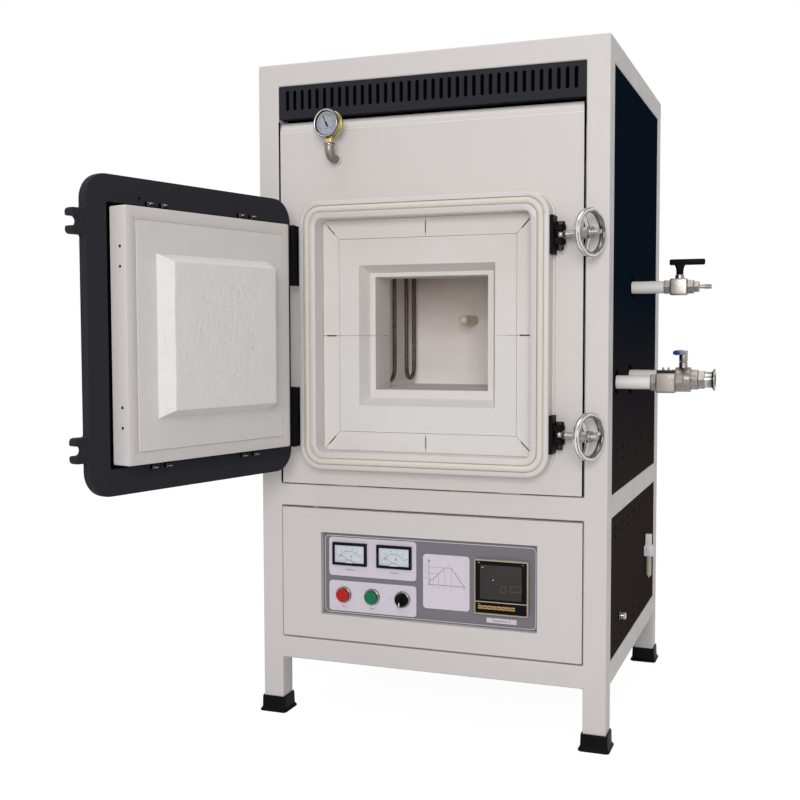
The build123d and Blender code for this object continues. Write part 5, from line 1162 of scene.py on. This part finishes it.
def build_gauge():
    """Vacuum gauge: rolled ring, printed card, tapered pointer, and its stem, elbow and collars."""
    case = Shell()
    rim = [(21.6, 9.2), (21.6, 12.0), (22.2, 12.8), (23.2, 13.0), (24.3, 12.5), (25.0, 11.2), (25.0, 8.6),
           (24.4, 7.4), (22.6, 7.0), (20.8, 7.0), (20.8, 9.2)]
    case.lathe(rim, DIAL, sides=80, ring=True)
    case.lathe([(20.8, 7.2), (22.6, 7.2), (22.6, 2.0), (22.9, 1.6), (22.6, 1.2), (22.6, -4.4),
                (20.8, -4.4)], DIAL, sides=80, ring=True, tint=2)
    case.lathe([(21.5, 12.1), (20.4, 10.2), (20.2, 9.3), (21.2, 9.2)], DIAL, sides=80, ring=True, tint=1)
    case.lathe([(0.2, -8), (22.8, -8), (24.2, -7.3), (24.2, -4.8), (23.4, -4.0), (0.2, -4.0)], DIAL,
               sides=64, tint=2)
    stem = UP.moved(*GAUGE[:2])
    case.slab(10.9, 10.9, 1.4, 1038.0, 1049.5, 0.8, place=stem, tint=3)
    case.lathe([(0.2, 1049.0), (4.6, 1049.0), (4.6, 1052.3), (0.2, 1052.3)], stem, sides=24, tint=3)
    case.slab(11, 9, 2.5, -7, 4.9, 0.8, 0, -20.5, DIAL, tint=3)
    piece("gauge_case_rolled", case, ["plated", "black", "zinc", "brass"], "cabinet",
          ["gauge_case"], crease=45)

    card = Shell()
    card.lathe([(0.2, 8.4), (20.9, 8.4), (20.9, 9.1), (0.2, 9.1)], DIAL, sides=72)
    z = 9.1
    centre = np.array([0.0, 0.0])
    card.stroke(arc(centre, 15.6, *GAUGE_SWEEP, 60), 0.3, z, z + 0.07, DIAL, 1)
    dial_ticks(card, centre, (15.6, 18.8), np.linspace(*GAUGE_SWEEP, 11), 0.5, z, DIAL, 1)
    dial_ticks(card, centre, (15.6, 17.3), np.linspace(*GAUGE_SWEEP, 51), 0.2, z, DIAL, 1)
    for k, angle in enumerate(np.radians(np.linspace(*GAUGE_SWEEP, 6))):
        label = ("-0.1", "0", "0.1", "0.15", "0.2", "0.25")[k]
        card.words(label, 2.9, 12.0 * cos(angle), 12.0 * sin(angle), z, z + 0.07, DIAL, 1)
    card.words("MPa", 3.2, 0, -9.2, z, z + 0.07, DIAL, 1)
    card.stroke(arc(centre, 14.0, 98, 58, 16), 1.2, z, z + 0.07, DIAL, 2)
    piece("gauge_dial", card, ["face", "ink", "red_ink"], "cabinet")

    hand = Shell()
    ray = radians(116)
    reach = np.array([-7.0, -6.6, -2.6, -1.6, 12.5, 17.0])
    half = np.array([1.2, 1.5, 1.2, 0.6, 0.5, 0.1])
    along, across = np.array([cos(ray), sin(ray)]), np.array([-sin(ray), cos(ray)])
    outline = np.vstack([reach[:, None] * along + half[:, None] * across,
                         (reach[:, None] * along - half[:, None] * across)[::-1]])
    hand.prism(outline, 9.45, 9.95, DIAL)
    hand.lathe([(0.2, 9.42), (2.0, 9.42), (2.0, 9.95), (1.5, 10.2), (0.2, 10.2)], DIAL, sides=28)
    piece("gauge_pointer_blade", hand, ["black"], "gauge_pointer", ["gauge_needle"])

    pipe = Shell()
    x, y = GAUGE[:2]
    bend = arc((y + 16, 1029.5), 16, 180, 270, 16)
    run = np.vstack([[(y, 1037.6), (y, 1033)], bend, [(-309.0, 1013.5), (-300.4, 1013.5)]])
    pipe.tube(np.column_stack([np.full(len(run), x), run]), 7.95, UP, 32)
    pipe.lathe([(8.0, 1032.2), (9.4, 1032.2), (10, 1032.9), (10, 1037.1), (9.4, 1037.9), (8.0, 1037.9)],
               stem, sides=40, ring=True, tint=1)
    pipe.lathe([(8.0, 300.2), (10, 300.2), (10, 305.6), (9.3, 306.8), (8.0, 306.8)], FRONT, x, 1013.5, 40,
               ring=True, tint=2)
    piece("gauge_elbow_bent", pipe, ["cast", "plated", "light"], "cabinet", ["gauge_elbow"],
          crease=45)


def build_pipes():
    """Side ports: painted stubs carried from the frame, three turned valves, their levers and unions."""
    # The stubs take the pipe enamel, light enamel made lighter as painted light.
    coat("side_pipes", "pipe")
    valve = Shell()
    gas = RIGHT.moved(*GAS_AXIS)
    valve.prism(hexagon(14), 376.7, 388.4, gas, chamfer=1.0)
    valve.slab(29.9, 29.9, 3.0, 388.3, 418.1, 1.6, place=gas, steps=6)
    valve.prism(hexagon(14), 418.0, 429.6, gas, chamfer=1.0)
    stem = UP.moved(404.0, GAS_AXIS[0])
    valve.lathe([(0.2, 800), (8, 800), (8, 808.8), (7.0, 809.9), (2.9, 810.0), (2.9, 822.4), (2.3, 823),
                 (0.2, 823)], stem, sides=32)
    piece("outlet_valve_turned", valve, ["steel"], "cabinet", ["outlet_valve_body"],
          crease=35)

    tail = Shell()
    tail.prism(hexagon(11), 429.6, 438.6, gas, chamfer=0.9)
    profile = [(2.0, 430.0), (3.0, 438.0), (3.6, 438.7), (3.6, 448.6)]
    for ridge in (448.6, 452.6, 456.6):
        profile += [(4.35, ridge + 0.05), (4.5, ridge + 0.3), (4.5, ridge + 1.4), (3.65, ridge + 3.4)]
    profile += [(3.5, 460.2), (2.1, 460.3), (2.0, 459.8)]
    tail.lathe(profile, gas, sides=36, ring=True)
    piece("hose_tail_turned", tail, ["steel"], "cabinet", ["hose_barb"], crease=40)

    handle = Shell()
    levels = [(6.1, 6.1, 3.04, 810.5), (12.2, 12.2, 6.0, 810.5), (12.8, 12.8, 6.3, 811.2),
              (12.8, 12.8, 6.0, 818), (15.5, 12.8, 5.6, 824), (21, 12.8, 5.0, 829), (6.1, 6.1, 3.04, 829)]
    handle.net(rect_stack(levels, 8), stem, ring=True)
    across = UP.moved(417.0, GAS_AXIS[0])
    handle.slab(63, 13, 5.5, 827.5, 838.0, 2.6, place=across, steps=7)
    for x in (-22, 22):
        handle.slab(9, 6, 2, 837.6, 838.0, 0.15, x, 0, across, steps=4)
    piece("outlet_handle_moulded", handle, ["black"], "outlet_handle",
          ["outlet_valve_handle"], crease=45)

    relief = Shell()
    axis = RIGHT.moved(*RELIEF_AXIS)
    relief.prism(hexagon(15.5), 376.7, 387.0, axis, chamfer=1.1)
    relief.slab(33.9, 33.9, 3.5, 386.9, 418.1, 1.8, place=axis, steps=6)
    nut = nut_rows([(8.4, 412.0), (8.4, 429.2), (9.0, 430.0), (13.9, 430.0), (15.0, 429.1), (15.0, 412.0)])
    relief.net(nut, axis, ring=True)
    relief.lathe([(8.05, 412.2), (8.05, 429.9), (8.9, 429.95), (8.9, 412.2)], axis, sides=40, ring=True)
    relief.lathe([(0.2, 412.5), (8.0, 412.5), (8.0, 413.2), (5.0, 413.2), (3.5, 416), (2.8, 419),
                  (0.2, 419.4)], axis, sides=32, tint=1)
    top = UP.moved(402.5, RELIEF_AXIS[0])
    relief.slab(29.9, 29.9, 2.5, 637.4, 641.5, 0.7, place=top, tint=1)
    for x in (397.0, 406.0):
        stud = UP.moved(x, RELIEF_AXIS[0])
        relief.prism(hexagon(2.2, 0.3), 641.4, 643.9, stud, tint=0, chamfer=0.3)
        relief.lathe([(0.2, 643.8), (1.5, 643.8), (1.5, 646.1), (1.1, 646.5), (0.2, 646.5)], stud, sides=18)
    piece("relief_valve_machined", relief, ["cast", "blackened"], "cabinet",
          ["relief_valve"], crease=35)

    vacuum = Shell()
    axis = RIGHT.moved(*VACUUM_AXIS)
    vacuum.prism(hexagon(20.5), 394.0, 401.0, axis, chamfer=1.2)
    barrel = [(12.6, 394.5), (12.6, 440.5), (18.0, 440.6), (18.0, 428.5), (21.5, 428.0), (22.5, 427.0),
              (22.5, 402.2), (21.4, 401.0), (17.0, 400.8), (17.0, 394.5)]
    vacuum.lathe(barrel, axis, sides=56, ring=True)
    vacuum.prism(hexagon(20.0), 428.1, 440.9, axis, chamfer=1.2)
    neck = UP.moved(414.0, VACUUM_AXIS[0])
    vacuum.lathe([(0.2, 638), (7.5, 638), (7.5, 651.4), (6.6, 652.4), (3.95, 652.5), (3.95, 661.8),
                  (3.3, 662.4), (0.2, 662.4)], neck, sides=32)
    piece("vacuum_valve_turned", vacuum, ["steel"], "cabinet", ["vacuum_valve_body"],
          crease=35)

    lever = Shell()
    lever.lathe([(4.05, 653.0), (7.2, 653.0), (7.5, 653.5), (7.5, 672.4), (7.0, 672.9), (0.2, 672.9),
                 (0.2, 663.0), (4.05, 663.0)], neck, sides=40, ring=True, tint=1)
    bar = UP.moved(414.0, VACUUM_AXIS[0] - 50)
    lever.slab(11, 100, 3, 668.95, 671.85, 0.5, place=bar, tint=1, steps=5)
    loop = rounded_rect(1, 1, 0.42, 6)
    rows = []
    for part in np.linspace(0, 1, 26):
        swell = (1 - (2 * part - 1) ** 8) ** 0.5 if 0 < part < 1 else 0.25
        wide = (13.0 + 1.0 * sin(pi * part) ** 2) * (0.55 + 0.45 * swell)
        high = 8.6 * (0.6 + 0.4 * swell)
        rows.append(np.column_stack([loop[:, 0] * wide, np.full(len(loop), -182.4 + 79.8 * part),
                                     670.4 + loop[:, 1] * high]))
    grid = np.stack(rows) + (414.0, 0, 0)
    lever.net(grid, UP)
    piece("vacuum_lever_dipped", lever, ["grip", "steel"], "vacuum_lever",
          ["vacuum_valve_lever"], crease=45)

    flange = Shell()
    nut = nut_rows([(14.0, 441.0), (14.0, 453.0), (17.4, 453.0), (18.4, 452.0), (18.4, 442.0),
                    (17.4, 441.0)])
    flange.net(nut, axis, ring=True)
    profile = [(12.5, 441.2), (12.5, 469.4), (13.1, 470), (19.3, 470), (20, 469.4), (20, 467.9),
               (19.2, 467.2), (15.4, 465.4), (14.5, 464.4), (14.5, 453.8), (14.5, 441.2)]
    flange.lathe(profile, axis, sides=64, ring=True)
    piece("vacuum_flange_polished", flange, ["plated"], "cabinet", ["vacuum_flange"],
          crease=35)


def build_fittings():
    """Small fittings: cam lock, gas filter with its bowl, and the gland of the supply cable."""
    lock = Shell()
    axis = RIGHT.moved(*LOCK)
    lock.lathe([(0.2, 318.8), (6.9, 318.8), (7, 319.3), (7, 321.0), (5.9, 322.2), (5.9, 330.4),
                (5.2, 331.4), (2.2, 331.5), (1.9, 330.0), (0.2, 330.0)], axis, sides=40)
    lock.slab(1.3, 5.6, 0.4, 330.0, 331.45, 0.1, place=axis, tint=1, steps=3)
    piece("cam_lock_turned", lock, ["plated", "shadow"], "lock", ["panel_lock"], crease=40)

    unit = Shell()
    face = RIGHT.moved(FILTER[1], 0)
    upright = UP.moved(*FILTER, 0)
    unit.slab(19.8, 22, 2.5, 318.6, 336.4, 1.2, 0, 265, face)
    unit.slab(11.8, 24.6, 2.0, 320.6, 332.4, 1.0, 0, 286.4, face)
    unit.lathe([(0.2, 254.5), (7.6, 254.5), (8.6, 255.5), (8.6, 259), (0.2, 259)], upright, sides=36)
    unit.lathe([(0.2, 210.2), (1.6, 210.2), (1.8, 213), (4.2, 214.2), (4.9, 216.5), (4.9, 254.6),
                (0.2, 254.6)], upright, sides=36, tint=1)
    unit.lathe([(0.2, 222), (2.2, 222), (2.4, 224), (2.4, 246), (0.2, 246)], upright, sides=24, tint=2)
    nozzle = Place((*FILTER, 268), (1, 0, 0), (0, -1, 0))
    unit.lathe([(0.2, 9.5), (2.5, 9.5), (2.5, 13.0), (3.1, 13.4), (2.5, 15.0), (3.1, 15.4), (2.4, 17.4),
                (0.2, 17.5)], nozzle, sides=24)
    piece("gas_filter_moulded", unit, ["white", "bowl", "zinc"], "cabinet", ["gas_filter"],
          crease=45)

    gland = Shell()
    axis = BACK.moved(*GLAND)
    nut = nut_rows([(11.6, 292.0), (11.6, 298.0), (15.2, 298.0), (16.0, 297.2), (16.0, 292.8),
                    (15.2, 292.0)])
    gland.net(nut, axis, ring=True)
    cap = [(8.0, 286.2, 0), (8.0, 311.4, 0), (8.6, 312, 0), (10.4, 312, 0), (12.6, 310.6, 0.1),
           (13.4, 308.6, 0.7), (13.4, 300.0, 0.7), (12.9, 298.2, 0.2), (11.9, 298.0, 0), (11.9, 286.2, 0)]
    gland.net(ribbed_rows(cap, 18, 108), axis, ring=True)
    piece("cable_gland_moulded", gland, ["black"], "cabinet", ["cable_gland"], crease=40)


def seen_white(finish, shaded, shadow):
    """Show a surface plain white where it is seen, apart from its share of the object's shadow."""
    glow = finish.add("ShaderNodeEmission", Color=(1, 1, 1, 1), Strength=1.17)
    blend = finish.add("ShaderNodeMixShader")
    finish.tree.links.new(finish.maths("MULTIPLY", finish.seen(), shadow), blend.inputs[0])
    finish.tree.links.new(shaded, blend.inputs[1])
    finish.tree.links.new(glow.outputs[0], blend.inputs[2])
    out = finish.tree.nodes["Material Output"]
    finish.tree.links.new(blend.outputs[0], out.inputs["Surface"])


def lay_floor(reach):
    """Flat pale floor under the feet, wide enough to reach the horizon."""
    edge = np.linspace(-reach, reach, 25) / MM
    x, y = np.meshgrid(edge, edge)
    shell = Shell()
    shell.sheet(np.stack([x, y, np.zeros_like(x)], 2), UP)
    mesh = bpy.data.meshes.new("floor")
    mesh.from_pydata((shell.points[0] * MM).tolist(), [], shell.faces)
    finish = Finish("floor_finish", 0.9)
    finish.colour(finish.mix(finish.noise(0.4, 3.0), (0.62, 0.62, 0.62), (0.65, 0.65, 0.65)))
    seen_white(finish, finish.shader.outputs[0], 0.82)
    mesh.materials.append(finish.material)
    floor = bpy.data.objects.new("floor", mesh)
    bpy.context.scene.collection.objects.link(floor)


def hang_lamp(name, spot, aim, size, power):
    """Square soft lamp at a spot, facing a point, both in metres."""
    light = bpy.data.lights.new(name, "AREA")
    light.size, light.energy = size, power
    lamp = bpy.data.objects.new(name, light)
    lamp.location = spot
    lamp.rotation_euler = (Vector(aim) - Vector(spot)).to_track_quat("-Z", "Y").to_euler()
    bpy.context.scene.collection.objects.link(lamp)


def light_world(strength):
    """Even room light that is plain white wherever the camera, glass or a mirror sees it."""
    world = bpy.data.worlds.new("room")
    bpy.context.scene.world = world
    world.use_nodes = True
    nodes = Nodes(world.node_tree)
    level = nodes.add("ShaderNodeMapRange", **{"Value": nodes.seen(), "To Min": strength, "To Max": 1.0})
    nodes.set(nodes.tree.nodes["Background"], Color=(1, 1, 1, 1), Strength=level.outputs["Result"])


def set_camera(lens):
    """Camera low and to the right of the door, its axes worked out from yaw, pitch and roll."""
    camera = bpy.data.cameras.new("camera")
    camera.lens, camera.sensor_width = lens, 36.0
    holder = bpy.data.objects.new("camera", camera)
    yaw, pitch, roll = 0.3594, -0.0577, -0.0025
    ahead = Vector((-sin(yaw) * cos(pitch), cos(yaw) * cos(pitch), sin(pitch)))
    side = Vector((cos(yaw), sin(yaw), 0))
    top = side.cross(ahead)
    side, top = side * cos(roll) + top * sin(roll), -side * sin(roll) + top * cos(roll)
    axes = Matrix((side, top, -ahead)).transposed().to_4x4()
    holder.matrix_world = Matrix.Translation((0.64479, -2.14061, 0.70131)) @ axes
    bpy.context.scene.collection.objects.link(holder)
    bpy.context.scene.camera = holder


def build_stage(stage):
    """Floor, lamps, room light and camera from the settings of the panel."""
    bpy.context.scene.view_settings.view_transform = "Standard"
    lay_floor(stage.floor)
    hang_lamp("front_lamp", (1.0, -4.2, 1.6), (0, 0, 0.65), 1.8, stage.front)
    hang_lamp("top_lamp", (-0.8, -1.2, 6.0), (0, -0.2, 0.6), 4.0, stage.top)
    light_world(stage.world)
    set_camera(stage.lens)


# ---- operators and panel ------------------------------------------------------------------
class FURNACE_OT_finishes(bpy.types.Operator):
    """Mix the finishes from the colours of the panel"""

    bl_idname = "furnace.finishes"
    bl_label = "Mix Finishes"

    def execute(self, context):
        mix_finishes(context.scene.furnace_colours)
        return {"FINISHED"}


class FURNACE_OT_stand(bpy.types.Operator):
    """Square-tube frame and foot caps"""

    bl_idname = "furnace.stand"
    bl_label = "Stand"

    def execute(self, context):
        build_stand(context.scene.furnace_sizes)
        return {"FINISHED"}


class FURNACE_OT_covers(bpy.types.Operator):
    """Sheet covers, grille, their screws and seams"""

    bl_idname = "furnace.covers"
    bl_label = "Covers"

    def execute(self, context):
        build_covers()
        return {"FINISHED"}


class FURNACE_OT_flange(bpy.types.Operator):
    """Flange, seal cord and weld"""

    bl_idname = "furnace.flange"
    bl_label = "Flange"

    def execute(self, context):
        build_flange(context.scene.furnace_sizes)
        return {"FINISHED"}


class FURNACE_OT_lining(bpy.types.Operator):
    """Boards, chamber, heating rods and thermocouple"""

    bl_idname = "furnace.lining"
    bl_label = "Lining"

    def execute(self, context):
        build_lining()
        return {"FINISHED"}


class FURNACE_OT_door(bpy.types.Operator):
    """Door plate, tray, board and plug"""

    bl_idname = "furnace.door"
    bl_label = "Door"

    def execute(self, context):
        build_door(context.scene.furnace_sizes)
        return {"FINISHED"}


class FURNACE_OT_hinges(bpy.types.Operator):
    """Hinge leaves, brackets and pins"""

    bl_idname = "furnace.hinges"
    bl_label = "Hinges"

    def execute(self, context):
        build_hinges()
        return {"FINISHED"}


class FURNACE_OT_bolts(bpy.types.Operator):
    """Swing bolts and washers"""

    bl_idname = "furnace.bolts"
    bl_label = "Bolts"

    def execute(self, context):
        build_bolts(context.scene.furnace_sizes)
        return {"FINISHED"}


class FURNACE_OT_wheels(bpy.types.Operator):
    """Handwheels of the swing bolts"""

    bl_idname = "furnace.wheels"
    bl_label = "Handwheels"

    def execute(self, context):
        build_wheels(context.scene.furnace_sizes)
        return {"FINISHED"}


class FURNACE_OT_meters(bpy.types.Operator):
    """Voltmeter and ammeter"""

    bl_idname = "furnace.meters"
    bl_label = "Meters"

    def execute(self, context):
        build_meters()
        return {"FINISHED"}


class FURNACE_OT_labels(bpy.types.Operator):
    """Instrument plate and its printing"""

    bl_idname = "furnace.labels"
    bl_label = "Labels"

    def execute(self, context):
        build_panel()
        return {"FINISHED"}


class FURNACE_OT_buttons(bpy.types.Operator):
    """Push buttons and selector"""

    bl_idname = "furnace.buttons"
    bl_label = "Buttons"

    def execute(self, context):
        build_buttons()
        return {"FINISHED"}


class FURNACE_OT_controller(bpy.types.Operator):
    """Process controller"""

    bl_idname = "furnace.controller"
    bl_label = "Controller"

    def execute(self, context):
        build_controller()
        return {"FINISHED"}


class FURNACE_OT_gauge(bpy.types.Operator):
    """Vacuum gauge and its elbow"""

    bl_idname = "furnace.gauge"
    bl_label = "Gauge"

    def execute(self, context):
        build_gauge()
        return {"FINISHED"}


class FURNACE_OT_ports(bpy.types.Operator):
    """Side pipes, valves and unions"""

    bl_idname = "furnace.ports"
    bl_label = "Ports"

    def execute(self, context):
        build_pipes()
        return {"FINISHED"}


class FURNACE_OT_fittings(bpy.types.Operator):
    """Cam lock, gas filter and cable gland"""

    bl_idname = "furnace.fittings"
    bl_label = "Fittings"

    def execute(self, context):
        build_fittings()
        return {"FINISHED"}


class FURNACE_OT_stage(bpy.types.Operator):
    """Floor, lamps, room light and camera"""

    bl_idname = "furnace.stage"
    bl_label = "Stage"

    def execute(self, context):
        build_stage(context.scene.furnace_stage)
        return {"FINISHED"}


STEPS = [
    FURNACE_OT_finishes, FURNACE_OT_stand, FURNACE_OT_covers, FURNACE_OT_flange,
    FURNACE_OT_lining, FURNACE_OT_door, FURNACE_OT_hinges, FURNACE_OT_bolts,
    FURNACE_OT_wheels, FURNACE_OT_meters, FURNACE_OT_labels, FURNACE_OT_buttons,
    FURNACE_OT_controller, FURNACE_OT_gauge, FURNACE_OT_ports, FURNACE_OT_fittings,
    FURNACE_OT_stage,
]
SETTINGS = {"furnace_colours": FurnaceColours, "furnace_sizes": FurnaceSizes, "furnace_stage": FurnaceStage}


class FURNACE_PT_panel(bpy.types.Panel):
    """Settings and build steps of the furnace"""

    bl_idname = "FURNACE_PT_panel"
    bl_label = "Muffle Furnace"
    bl_space_type = "VIEW_3D"
    bl_region_type = "UI"
    bl_category = "Furnace"

    def draw(self, context):
        for name in SETTINGS:
            group = getattr(context.scene, name)
            box = self.layout.box()
            for key in group.__annotations__:
                box.prop(group, key)
        for operator in STEPS:
            self.layout.operator(operator.bl_idname)


def register():
    for kind in (*SETTINGS.values(), *STEPS, FURNACE_PT_panel):
        bpy.utils.register_class(kind)
    for name, kind in SETTINGS.items():
        setattr(bpy.types.Scene, name, PointerProperty(type=kind))


def unregister():
    for name in SETTINGS:
        delattr(bpy.types.Scene, name)
    for kind in (FURNACE_PT_panel, *reversed(STEPS), *reversed(SETTINGS.values())):
        bpy.utils.unregister_class(kind)


def main():
    """Build everything in order."""
    register()
    for operator in STEPS:
        name = operator.bl_idname.split(".")[1]
        getattr(bpy.ops.furnace, name)()


if __name__ == "__main__":
    main()
